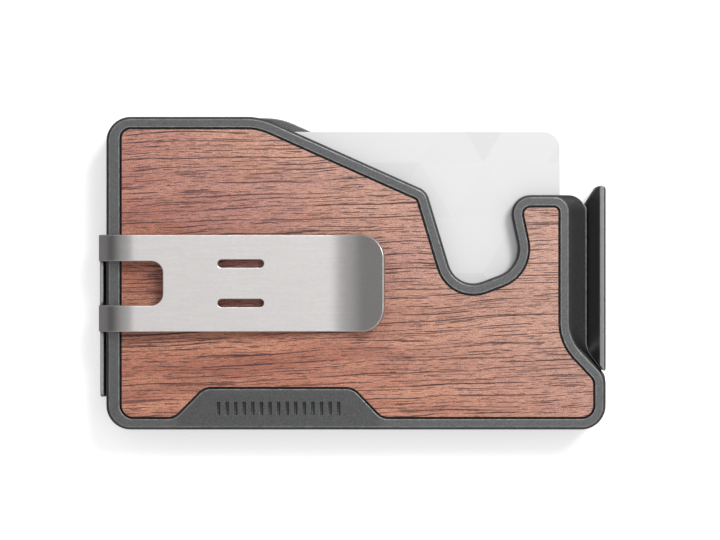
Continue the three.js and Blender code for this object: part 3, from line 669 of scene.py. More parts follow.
@dataclass(frozen=True)
class Finish:
    """A surface finish, and the record's material slot that it stands for."""

    name: str
    slot: str

    def material(self) -> bpy.types.Material:
        """The finish's material, made once.

        Returns:
            The material.
        """
        found = bpy.data.materials.get(self.name)
        if found:
            return found
        material = bpy.data.materials.new(self.name)
        material.use_nodes = True
        material.node_tree.nodes.clear()
        tree = Tree(material.node_tree)
        shader = self.shade(tree)
        tree.node("OutputMaterial", Surface=shader.outputs[0])
        return material

    def shade(self, tree: Tree) -> bpy.types.Node:
        """Build the shader. Each finish has its own."""
        raise NotImplementedError

    def dress(self, piece: Piece) -> None:
        """Put the finish on a piece.

        Args:
            piece: The piece to dress.
        """
        piece.data.materials.clear()
        piece.data.materials.append(self.material())


@dataclass(frozen=True)
class Badge:
    """The blank land at the shell's lower edge and its row of grooves, in metres."""

    x: float
    y: float
    top: float
    row: tuple[float, float] = (12.6 * MM, 1.6 * MM)
    row_margin: float = 0.6 * MM
    land: tuple[float, float] = (19.0 * MM, 2.9 * MM)
    land_margin: float = 2.4 * MM
    lip: float = 0.03 * MM
    floor: float = 0.16 * MM
    # the land is painted a little darker, and the floors of the grooves near black as painted shade
    land_shade: float = 0.24
    groove_shade: float = 0.62
    dark: Colour = (0.012, 0.012, 0.012)

    def near(self, tree: Tree, half: tuple[float, float], margin: float) -> Socket:
        """A soft-edged rectangle round the middle of the land.

        Args:
            tree: The tree to build in.
            half: Half of the rectangle's width and height.
            margin: How far its edges fade.

        Returns:
            1 inside the rectangle and 0 outside it.
        """
        at = tree.node("SeparateXYZ", Vector=tree.place())
        masks = []
        for axis, middle, reach in (("X", self.x, half[0]), ("Y", self.y, half[1])):
            away = tree.math("ABSOLUTE", tree.math("SUBTRACT", at.outputs[axis], middle))
            masks.append(tree.remap(away, reach + margin, reach))
        return tree.math("MULTIPLY", masks[0], masks[1])

    def sunk(self, tree: Tree) -> Socket:
        """1 on the floors of the grooves and 0 on the land."""
        below = tree.remap(tree.place_along("Z"), self.top - self.lip, self.top - self.floor)
        return tree.math("MULTIPLY", below, self.near(tree, self.row, self.row_margin))

    def darken(self, tree: Tree, colour: Socket) -> Socket:
        """Darken the land a little, and darken the floors of the grooves more, as painted shade.

        Args:
            tree: The tree to build in.
            colour: The shell's colour.

        Returns:
            The colour with the badge on it.
        """
        land = self.near(tree, self.land, self.land_margin)
        darker_land = tree.math("MULTIPLY", land, self.land_shade)
        # painted shade on the floors of the grooves
        painted_groove_shade = tree.math("MULTIPLY", self.sunk(tree), self.groove_shade)
        return tree.colours(tree.math("MAXIMUM", darker_land, painted_groove_shade), colour, self.dark)

    def spare(self, tree: Tree, wear_and_highlight: Socket) -> Socket:
        """Keep the bright edges, worn and painted highlight, off the row of grooves."""
        kept = self.near(tree, self.row, self.row_margin)
        return tree.math("MULTIPLY", wear_and_highlight, tree.math("SUBTRACT", 1.0, kept))


@dataclass(frozen=True)
class Anodised(Finish):
    """Bead-blasted aluminium, anodised dark grey, a little bright along its edges, as bare wear and
    as painted highlight.
    """

    colour: Colour = (0.136, 0.137, 0.139)
    # the bright edges' colour: bare metal worn through, and painted highlight along the creases
    # where light falls
    bare: Colour = (0.40, 0.40, 0.405)
    polish_and_highlight: Colour = (0.24, 0.24, 0.24)
    roughness: float = 0.40
    beads: GrainLayer = GrainLayer(0.16, 0.16, detail=2.0, span=(0.3, 0.7))
    shading: tuple[float, float] = (0.74, 1.26)
    cloud_size: float = 18 * MM
    cloud_amount: float = 0.16
    wear_and_highlight: float = 0.95
    wear_and_highlight_reach: float = 0.36 * MM
    # painted highlight: above this height, on the lever's top face where light falls, the surface
    # is painted lighter
    highlight_above: float = 1.0
    highlight_fade: float = 0.25 * MM
    relief: Relief = Relief(0.35, 0.01 * MM)
    badge: Badge | None = None

    def shade(self, tree: Tree) -> bpy.types.Node:
        """A metal with a fine pebbled grain.

        Args:
            tree: The material's tree.

        Returns:
            The shader.
        """
        beads = self.beads.noise(tree)
        cloud = tree.group(
            Effects.get(Effect.HANDLING), Size=self.cloud_size, Amount=self.cloud_amount
        ).outputs[0]
        wear_and_highlight = tree.group(
            Effects.get(Effect.WEAR), Reach=self.wear_and_highlight_reach, Amount=self.wear_and_highlight
        ).outputs[0]
        dark, light = (scaled(self.colour, factor) for factor in self.shading)
        blasted = tree.colours(tree.remap(beads, *self.beads.span), dark, light)
        # Painted highlight: the surface above a height, the lever's top face, is painted lighter.
        start = self.highlight_above - self.highlight_fade
        top_highlighted = tree.remap(tree.place_along("Z"), start, self.highlight_above)
        blasted = tree.colours(top_highlighted, blasted, self.polish_and_highlight)
        if self.badge:
            blasted = self.badge.darken(tree, blasted)
            wear_and_highlight = self.badge.spare(tree, wear_and_highlight)
        # bright edges: bare wear, and painted highlight along the creases
        shown = tree.colours(wear_and_highlight, blasted, self.bare)
        roughness = tree.math("ADD", self.roughness, cloud)
        return tree.node(
            "BsdfPrincipled", Base_Color=shown, Roughness=roughness, Metallic=1.0,
            Normal=self.relief.over(tree, beads),
        )


@dataclass(frozen=True)
class VesselRows:
    """One set of the dark dashes that open vessels draw along the grain, in millimetres."""

    WANDER = (34, 7.0)  # the size of the rows' slow wander
    DASH_WIDTH = 0.6
    DASH_SHIFT = 11.0
    DASH_FADE = 0.09
    SOFT_EDGE = 1.5  # where a row fades out, and where it is full, in half thicknesses
    FULL_EDGE = 0.35

    spacing: float
    thickness: float
    dash: float
    wobble: float
    shift: float
    bare: float

    def mask(self, tree: Tree, drift: Socket) -> Socket:
        """Rows that wander across the grain and break up into dashes.

        Args:
            tree: The tree to build in.
            drift: How far the grain has risen here.

        Returns:
            1 in the middle of a dash and 0 between the dashes.
        """
        wander = GrainLayer(*self.WANDER, self.shift, 1.0).noise(tree, drift)
        level = tree.math("SUBTRACT", tree.place_along("Y"), drift)
        rows = tree.math("DIVIDE", level, self.spacing * MM)
        rows = tree.math("ADD", rows, tree.math("MULTIPLY", wander, self.wobble))
        away = tree.math("ABSOLUTE", tree.math("SUBTRACT", tree.math("FRACT", rows), 0.5))
        edge = self.thickness / self.spacing / 2
        line = tree.remap(away, self.SOFT_EDGE * edge, self.FULL_EDGE * edge)
        dashes = GrainLayer(self.dash, self.DASH_WIDTH, self.shift + self.DASH_SHIFT, 2.0)
        shown = tree.remap(dashes.noise(tree, drift), self.bare, self.bare + self.DASH_FADE)
        return tree.math("MULTIPLY", line, shown)


@dataclass(frozen=True)
class Walnut(Finish):
    """Reddish-brown open-pored veneer, oiled, with its grain along X."""

    light: Colour = (0.555, 0.245, 0.155)
    deep: Colour = (0.320, 0.098, 0.060)
    # rose: patches of the wood's own tone, laid on more strongly towards the top as painted sheen
    rose_and_sheen: Colour = (0.430, 0.190, 0.165)
    # painted sheen: the pale colour laid on towards the right, where light falls on the wood
    sheen_pale: Colour = (0.595, 0.372, 0.300)
    pore: Colour = (0.050, 0.022, 0.026)
    # near black on the cut sides: char, and painted shade in the gap round the panel
    char_and_gap_shade: Colour = (0.014, 0.010, 0.010)
    figure: GrainLayer = GrainLayer(34, 4.2, 3.1, span=(0.30, 0.70, 0.2, 0.95))
    band: GrainLayer = GrainLayer(22, 1.1, 7.7, span=(0.42, 0.66))
    blush: GrainLayer = GrainLayer(26, 14, 6.4, 1.0, (0.42, 0.62))
    fibre: GrainLayer = GrainLayer(1.6, 0.13, 1.9, 3.0, (0.28, 0.72, 0.70, 1.32))
    speckle: GrainLayer = GrainLayer(0.26, 0.14, 4.4, 2.0, (0.28, 0.72, 0.68, 1.38))
    specks: GrainLayer = GrainLayer(1.3, 0.17, 8.8, 2.0, (0.38, 0.32))
    rows: tuple[VesselRows, ...] = (
        VesselRows(2.6, 0.24, 22.0, 0.7, 5.3, 0.445),
        VesselRows(1.7, 0.21, 11.0, 1.0, 9.2, 0.465),
        VesselRows(1.15, 0.17, 6.0, 1.3, 2.6, 0.490),
        VesselRows(0.8, 0.13, 3.6, 1.6, 7.1, 0.510),
        VesselRows(0.55, 0.10, 2.0, 1.9, 3.9, 0.525),
    )
    band_share: float = 0.42
    speck_share: float = 0.6
    pore_share: float = 0.95
    rise: float = 0.035
    wave: float = 2.4 * MM
    wave_noise: GrainLayer = GrainLayer(26, 17, 0.7, 1.0)
    # painted sheen: how it leans upwards, and where it runs across the panel
    sheen_lean: float = 1.2
    sheen_span: Span = (-40 * MM, 50 * MM, 0.0, 0.70)
    rose_sheen_span: Span = (-26 * MM, 8 * MM, 0.08, 0.58)
    char_shade_span: Span = (0.985, 0.90)
    roughness: float = 0.47
    pore_roughness: float = 0.25
    gloss: float = 0.45
    fibre_height: float = 0.30
    relief: Relief = Relief(0.45, 0.04 * MM)

    def shade(self, tree: Tree) -> bpy.types.Node:
        """An oiled wood with open pores and a cut edge painted near black, as char and as painted
        shade in the gap round the panel.

        Args:
            tree: The material's tree.

        Returns:
            The shader.
        """
        drift = self._drift(tree)
        fibre = self.fibre.noise(tree, drift)
        ground = self._ground(tree, drift)
        ground = self._tint(tree, ground, tree.remap(fibre, *self.fibre.span))
        ground = self._tint(tree, ground, self.speckle.read(tree, drift))
        vessels = tree.math("MULTIPLY", self.specks.read(tree, drift), self.speck_share)
        for row in self.rows:
            vessels = tree.math("MAXIMUM", vessels, row.mask(tree, drift))
        shown = tree.colours(tree.math("MULTIPLY", vessels, self.pore_share), ground, self.pore)
        # cut sides painted near black: char, and painted shade in the gap
        shown = tree.colours(self._charred_and_shaded(tree), shown, self.char_and_gap_shade)
        open_pores = tree.math("MULTIPLY", vessels, self.pore_roughness)
        roughness = tree.math("ADD", open_pores, self.roughness)
        height = tree.math("SUBTRACT", tree.math("MULTIPLY", fibre, self.fibre_height), vessels)
        return tree.node(
            "BsdfPrincipled", Base_Color=shown, Roughness=roughness,
            Specular_IOR_Level=self.gloss, Normal=self.relief.over(tree, height),
        )

    def _ground(self, tree: Tree, drift: Socket) -> Socket:
        """The wood's broad colours, without its fibres and pores.

        Args:
            tree: The tree to build in.
            drift: How far the grain has risen here.

        Returns:
            The colour.
        """
        ground = tree.colours(self.figure.read(tree, drift), self.deep, self.light)
        # rose patches, fading towards the lower edge as painted sheen
        blush = tree.math("MULTIPLY", self.blush.read(tree, drift), self._rose_sheen(tree))
        ground = tree.colours(blush, ground, self.rose_and_sheen)
        band = tree.math("MULTIPLY", self.band.read(tree, drift), self.band_share)
        ground = tree.colours(band, ground, self.deep)
        # Painted sheen: paler towards the right and the top.
        return tree.colours(self._painted_sheen(tree), ground, self.sheen_pale)

    def _painted_sheen(self, tree: Tree) -> Socket:
        """Painted sheen: how much pale colour is laid on at a point, hardly at its left, more at
        its right and towards its top.
        """
        lean = tree.math("MULTIPLY", tree.place_along("Y"), self.sheen_lean)
        return tree.remap(tree.math("ADD", tree.place_along("X"), lean), *self.sheen_span)

    def _rose_sheen(self, tree: Tree) -> Socket:
        """Painted sheen: how strongly the rose patches show at a point, less towards the lower
        edge.
        """
        return tree.remap(tree.place_along("Y"), *self.rose_sheen_span)

    def _charred_and_shaded(self, tree: Tree) -> Socket:
        """1 on the panel's cut sides and 0 on its faces: the sides are painted near black, as char
        and as painted shade in the gap.
        """
        facing = tree.node("SeparateXYZ", Vector=tree.node("NewGeometry").outputs["Normal"])
        return tree.remap(tree.math("ABSOLUTE", facing.outputs["Z"]), *self.char_shade_span)

    def _drift(self, tree: Tree) -> Socket:
        """How far the grain has risen at a point: a steady rise and a slow wave.

        Args:
            tree: The tree to build in.

        Returns:
            The rise in metres.
        """
        slow = tree.math("SUBTRACT", self.wave_noise.noise(tree), 0.5)
        steady = tree.math("MULTIPLY", tree.place_along("X"), self.rise)
        return tree.math("ADD", steady, tree.math("MULTIPLY", slow, self.wave))

    @staticmethod
    def _tint(tree: Tree, colour: Socket, value: Socket) -> Socket:
        """A colour made lighter or darker by a value round 1."""
        return tree.colours(1.0, colour, tree.grey(value), "MULTIPLY")


@dataclass(frozen=True)
class BrushedSteel(Finish):
    """Stainless spring steel with a fine lengthwise brushing."""

    colour: Colour = (0.548, 0.529, 0.523)
    polish_and_highlight: Colour = (0.95, 0.93, 0.92)
    roughness: float = 0.34
    fine: GrainLayer = GrainLayer(14, 0.07)
    broad: GrainLayer = GrainLayer(30, 0.5, 4.0)
    fine_share: float = 0.7
    broad_share: float = 0.3
    line_span: Span = (0.35, 0.65)
    shading: tuple[float, float] = (0.93, 1.06)
    line_roughness: float = 0.08
    cloud_size: float = 12 * MM
    cloud_amount: float = 0.05
    tumbled_reach: float = 0.22 * MM
    tumbled: float = 0.85
    relief: Relief = Relief(0.12, 0.006 * MM)

    def shade(self, tree: Tree) -> bpy.types.Node:
        """A metal whose gloss and colour vary in hairlines.

        Args:
            tree: The material's tree.

        Returns:
            The shader.
        """
        fine = self.fine.noise(tree)
        broad = tree.math("MULTIPLY", self.broad.noise(tree), self.broad_share)
        lines = tree.math("ADD", tree.math("MULTIPLY", fine, self.fine_share), broad)
        dark, light = (scaled(self.colour, factor) for factor in self.shading)
        shown = tree.colours(tree.remap(lines, *self.line_span), dark, light)
        tumbled = tree.group(
            Effects.get(Effect.WEAR), Reach=self.tumbled_reach, Amount=self.tumbled
        ).outputs[0]
        shown = tree.colours(tumbled, shown, self.polish_and_highlight)
        cloud = tree.group(
            Effects.get(Effect.HANDLING), Size=self.cloud_size, Amount=self.cloud_amount
        ).outputs[0]
        hairlines = tree.math("MULTIPLY", fine, self.line_roughness)
        roughness = tree.math("ADD", tree.math("ADD", self.roughness, cloud), hairlines)
        return tree.node(
            "BsdfPrincipled", Base_Color=shown, Roughness=roughness, Metallic=1.0,
            Normal=self.relief.over(tree, fine),
        )


@dataclass(frozen=True)
class CardPrint(Finish):
    """White laminated card with a faint lattice of grey triangles and a dark stripe on its back."""

    white: Colour = (0.775, 0.775, 0.78)
    grey: Colour = (0.69, 0.69, 0.70)
    triangle: float = 11.0 * MM
    lattice: tuple[float, ...] = (90, 30, -30)  # the directions across its lines, in degrees
    print_span: Span = (0.35, 1.0, 0.0, 0.55)
    stripe: Colour = (0.018, 0.017, 0.016)
    stripe_low: float = 0.0
    stripe_high: float = 0.0
    roughness: float = 0.34
    coat: float = 0.25
    coat_roughness: float = 0.18
    weave: GrainLayer = GrainLayer(0.2, 0.2, detail=2.0)
    relief: Relief = Relief(0.06, 0.006 * MM)

    def shade(self, tree: Tree) -> bpy.types.Node:
        """Each triangle of the lattice has its own shade of near white.

        Args:
            tree: The material's tree.

        Returns:
            The shader.
        """
        place = tree.place()
        rows = []
        for degrees in self.lattice:
            turn = math.radians(degrees)
            dot = tree.node("VectorMath", {"operation": "DOT_PRODUCT"})
            tree.feed(dot.inputs[0], place)
            dot.inputs[1].default_value = (math.cos(turn), math.sin(turn), 0.0)
            row = tree.math("DIVIDE", dot.outputs["Value"], self.triangle)
            rows.append(tree.math("FLOOR", row))
        cell = tree.node("CombineXYZ", X=rows[0], Y=rows[1], Z=rows[2])
        shade = tree.node("TexWhiteNoise", Vector=cell.outputs[0]).outputs["Value"]
        printed = tree.colours(tree.remap(shade, *self.print_span), self.white, self.grey)
        return tree.node(
            "BsdfPrincipled", Base_Color=self._back_stripe(tree, place, printed),
            Roughness=self.roughness, Coat_Weight=self.coat,
            Coat_Roughness=self.coat_roughness,
            Normal=self.relief.over(tree, self.weave.noise(tree)),
        )

    def _back_stripe(self, tree: Tree, place: Socket, printed: Socket) -> Socket:
        """Lay the dark stripe over the print on the card's underside.

        Args:
            tree: The material's tree.
            place: The point's place on the card.
            printed: The print's colour.

        Returns:
            The colour with the stripe.
        """
        height = tree.node("SeparateXYZ", Vector=place).outputs["Y"]
        normal = tree.node("TexCoord").outputs["Normal"]
        facing = tree.node("SeparateXYZ", Vector=normal).outputs["Z"]
        above = tree.math("GREATER_THAN", height, self.stripe_low)
        below = tree.math("LESS_THAN", height, self.stripe_high)
        behind = tree.math("LESS_THAN", facing, -0.5)
        mask = tree.math("MULTIPLY", tree.math("MULTIPLY", above, below), behind)
        return tree.colours(mask, printed, self.stripe)


@dataclass(frozen=True)
class SmoothMetal(Finish):
    """A small turned or pressed metal part with faint tool marks."""

    colour: Colour
    roughness: float
    metallic: float = 1.0
    mottle: GrainLayer = GrainLayer(0.3, 0.3)
    mottle_share: float = 0.25
    mottle_roughness: float = 0.12
    wear_and_highlight: float = 0.5
    wear_and_highlight_reach: float = 0.1 * MM
    relief: Relief = Relief(0.15, 0.008 * MM)

    def shade(self, tree: Tree) -> bpy.types.Node:
        """A metal with a fine mottle and bright edges.

        Args:
            tree: The material's tree.

        Returns:
            The shader.
        """
        mottle = self.mottle.noise(tree)
        wear_and_highlight = tree.group(
            Effects.get(Effect.WEAR), Reach=self.wear_and_highlight_reach, Amount=self.wear_and_highlight
        ).outputs[0]
        bright = scaled(self.colour, 2.2, lift=0.02)
        share = tree.math("MULTIPLY", mottle, self.mottle_share)
        shown = tree.colours(wear_and_highlight, tree.colours(share, self.colour, bright), bright)
        uneven = tree.math("MULTIPLY", mottle, self.mottle_roughness)
        return tree.node(
            "BsdfPrincipled", Base_Color=shown,
            Roughness=tree.math("ADD", uneven, self.roughness), Metallic=self.metallic,
            Normal=self.relief.over(tree, mottle),
        )


ANODISED = Anodised("dark_grey_anodising", "anodised")
WALNUT = Walnut("oiled_walnut", "walnut")
STEEL = BrushedSteel("brushed_spring_steel", "steel")
BLACK = SmoothMetal("black_oxide", "black_oxide", (0.020, 0.020, 0.022), 0.38, 0.85)
BRONZE = SmoothMetal("sintered_bronze", "bronze", (0.42, 0.25, 0.09), 0.42)
# black adhesive, laid as a bead that fills the gaps round the panels as painted shade
ADHESIVE_AND_GAP_SHADE = SmoothMetal("black_adhesive_gap_shade", "nylon", (0.006, 0.006, 0.006), 0.7, 0.0)
NYLON = SmoothMetal("dark_nylon", "nylon", (0.024, 0.025, 0.028), 0.55, 0.0)


# ------------------------------------------------------------------ sub-assemblies


def report(piece: Piece, body: str, nodes: Sequence[str] = ()) -> None:
    """Set a piece on its body in place of its CAD nodes, and log it.

    Args:
        piece: The finished piece.
        body: The body that carries it.
        nodes: The CAD nodes that it stands for.
    """
    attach(piece, body)
    if nodes:
        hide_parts(*nodes)
    LOG.info("%s rides on %s with %d faces", piece.name, body, len(piece.data.polygons))


def dress_node(node: str, finish: Finish) -> None:
    """Give its finish to a CAD node that keeps its own shape.

    Args:
        node: The CAD node.
        finish: Its finish.
    """
    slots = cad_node(node).data.materials
    slots.clear()
    slots.append(finish.material())


@dataclass
class CardCase:
    """The two shells, their wooden panels, the frame between them and the screws."""

    body: str = "case"
    shell_edge: float = 0.10 * MM
    panel_edge: float = 0.26 * MM
    square_edge: float = 50  # degrees: a panel's own rims, and not its facets
    # how far the black bead spreads into the gap round a panel, as painted shade, and how far it
    # sinks
    bead_width: float = 0.14 * MM
    bead_depth: float = 0.38 * MM
    badge_x: float = 34.15 * MM  # the middle of the row of grooves, in from the shell's corner
    badge_y: float = 4.225 * MM
    screw_nodes: tuple[str, ...] = tuple(f"case_screw_{number}" for number in range(1, 5))

    def build(self) -> None:
        """Build and dress every piece of the case."""
        low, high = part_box("front_shell")
        badge = Badge(low[0] + self.badge_x, low[1] + self.badge_y, high[2])
        badged = Anodised("badged_anodising", "anodised", badge=badge)
        self.metal("front_shell", "front_shell_fine", badged)
        self.metal("back_shell", "back_shell_fine", ANODISED)
        self.metal("middle_frame", "middle_frame_fine", ANODISED)
        self.panel("front_panel", "front_wood")
        self.panel("back_panel", "back_wood")
        for node in (*self.screw_nodes, "pivot_screw"):
            Screw(node).build()
        dress_node("pressure_spring", STEEL)

    def metal(self, node: str, name: str, finish: Anodised) -> None:
        """Ease the edges of a metal part and dress it.

        Args:
            node: The part's CAD node.
            name: The piece's name.
            finish: Its finish.
        """
        piece = Bench.copy_of(node, name)
        Bench.ease(piece, self.shell_edge, segments=2)
        Bench.smooth(piece)
        finish.dress(piece)
        report(piece, self.body, [node])

    def panel(self, node: str, name: str) -> None:
        """Ease a wooden panel's rim, dress it, and lay its bead, which fills the gap round it as
        painted shade.

        Args:
            node: The panel's CAD node.
            name: The piece's name.
        """
        piece = Bench.copy_of(node, name)
        Bench.ease(piece, self.panel_edge, segments=3, angle=self.square_edge)
        Bench.smooth(piece)
        WALNUT.dress(piece)
        report(piece, self.body, [node])
        self.bead(node, name + "_gap_shade_bead", 1 if node == "front_panel" else -1)

    def bead(self, node: str, name: str, side: int) -> None:
        """Lay the black bead of adhesive that shows round a wooden panel, widened so that it fills
        the gap as painted shade.

        Args:
            node: The panel's CAD node.
            name: The bead's name.
            side: 1 when the panel's face looks up, and -1 when it looks down.
        """
        low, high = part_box(node)
        piece = Bench.copy_of(node, name)
        with Bench.editing(piece):
            bpy.ops.mesh.bisect(
                plane_co=(0, 0, (low[2] + high[2]) / 2), plane_no=(0, 0, 1),
                clear_inner=side > 0, clear_outer=side < 0, use_fill=True,
            )
            bpy.ops.mesh.select_all(action="SELECT")
            bpy.ops.transform.shrink_fatten(value=self.bead_width)
            bpy.ops.transform.translate(value=(0, 0, -side * self.bead_depth))
        Bench.ease(piece, self.bead_width / 3, segments=1, angle=self.square_edge)
        Bench.smooth(piece)
        ADHESIVE_AND_GAP_SHADE.dress(piece)
        report(piece, self.body)


@dataclass
class Screw:
    """A screw that is driven from below: its head, hexagonal socket and shank."""

    node: str
    body: str = "case"
    edge: float = 0.07 * MM
    turned_edge: float = 35  # degrees: its rims, and not the facets round it

    def build(self) -> None:
        """Ease the screw's turned edges and the rim of its socket."""
        piece = Bench.copy_of(self.node, self.node + "_fine")
        Bench.ease(piece, self.edge, segments=2, angle=self.turned_edge)
        Bench.smooth(piece)
        BLACK.dress(piece)
        report(piece, self.body, [self.node])


@dataclass
class FanLever:
    """The thumb lever, with the bush that it turns on and the washers beside it."""

    body: str = "lever"
    edge: float = 0.10 * MM  # any more, and its stepped foot meets the cards as it swings
    least_bend: float = 28
    colour: Colour = (0.112, 0.112, 0.114)

    def build(self) -> None:
        """Build and dress every piece of the lever."""
        piece = Bench.copy_of("lever", "thumb_lever")
        Bench.ease(piece, self.edge, segments=3, angle=self.least_bend)
        Bench.smooth(piece)
        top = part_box("lever")[1][2]
        # Painted highlight: the lever's top face is painted lighter, where light falls on it.
        top_highlighted = Anodised(
            "top_highlight_anodising", "anodised",
            colour=self.colour, highlight_above=top - self.edge,
        )
        top_highlighted.dress(piece)
        report(piece, self.body, ["lever"])
        dress_node("pivot_bush", BRONZE)
        dress_node("friction_washer_front", NYLON)
        dress_node("friction_washer_back", NYLON)


@dataclass
class CardStack:
    """Five blank cards of the standard size, each turning on its own body."""

    count: int = 5
    corner: float = 3.18 * MM
    edge: float = 0.09 * MM
    stripe_inset: float = 5.5 * MM
    stripe_width: float = 12.7 * MM

    def build(self) -> None:
        """Build and dress every card."""
        for number in range(1, self.count + 1):
            node = f"card_{number}"
            low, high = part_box(node)
            outline = box_outline(low[0], low[1], high[0], high[1], self.corner)
            piece = plate(f"blank_card_{number}", [outline], low[2], high[2], self.edge)
            Bench.smooth(piece)
            top = high[1] - self.stripe_inset
            finish = CardPrint(
                "printed_card", "card_plastic",
                stripe_low=top - self.stripe_width, stripe_high=top,
            )
            finish.dress(piece)
            report(piece, node, [node])


@dataclass(frozen=True)
class Run:
    """A stretch of the clip's folding line: straight when its turn is 0."""

    length: float
    turn: float = 0.0

    @classmethod
    def bend(cls, radius: float, degrees: float) -> Run:
        """A bend of that radius.

        Args:
            radius: The bend's radius, at the middle of the steel.
            degrees: How far it turns: more than 0 towards the steel's outer side.

        Returns:
            The run.
        """
        turn = math.radians(degrees)
        return cls(radius * abs(turn), turn)


@dataclass(frozen=True)
class FoldingLine:
    """The clip's folding line at the middle of the steel, seen from its side in X and Z."""

    SCORE_STEP = 4  # degrees of bend between scores
    LEAST_SCORES = 6

    start: Vector
    runs: tuple[Run, ...]
    case_left: float
    wall_x: float
    wall_foot: float
    bend: Vector
    leg_x: float
    slope: float

    def length(self) -> float:
        """The blank's whole length."""
        return sum(run.length for run in self.runs)

    def on_wall(self, height: float) -> float:
        """How far along the blank a height on the side wall lies."""
        return self.runs[0].length + self.runs[1].length + height - self.wall_foot

    def on_leg(self, inset: float) -> float:
        """How far along the blank a place on the front leg lies, from the case's left end."""
        leg_start = sum(run.length for run in self.runs[:4])
        return leg_start + (self.case_left + inset - self.leg_x) / math.cos(self.slope)

    def scores(self, margin: float) -> list[float]:
        """Where the blank is scored across: every few degrees of each bend.

        Args:
            margin: How far before and after each bend it is scored once more.

        Returns:
            Distances along the blank, in metres.
        """
        places: list[float] = []
        travelled = 0.0
        for run in self.runs:
            if run.turn:
                places += [travelled - margin, travelled + run.length + margin]
                degrees = abs(math.degrees(run.turn))
                steps = max(round(degrees / self.SCORE_STEP), self.LEAST_SCORES)
                places += [travelled + run.length * step / steps for step in range(steps + 1)]
            travelled += run.length
        return places

    def station(self, travelled: float) -> tuple[Vector, float]:
        """The folded line's point and heading at a distance along the blank.

        Args:
            travelled: The distance from the base's end, in metres.

        Returns:
            The point in X and Z, and the heading in radians.
        """
        point = self.start.copy()
        heading = math.pi
        left = travelled
        for run in self.runs:
            part = min(left, run.length)
            if run.turn:
                turned = run.turn * part / run.length
                radius = run.length / run.turn
                across = math.sin(heading + turned) - math.sin(heading)
                up = math.cos(heading) - math.cos(heading + turned)
                point += radius * Vector((across, up))
                heading += turned
            else:
                point += part * Vector((math.cos(heading), math.sin(heading)))
            left -= part
            if left <= 0:
                break
        return point, heading


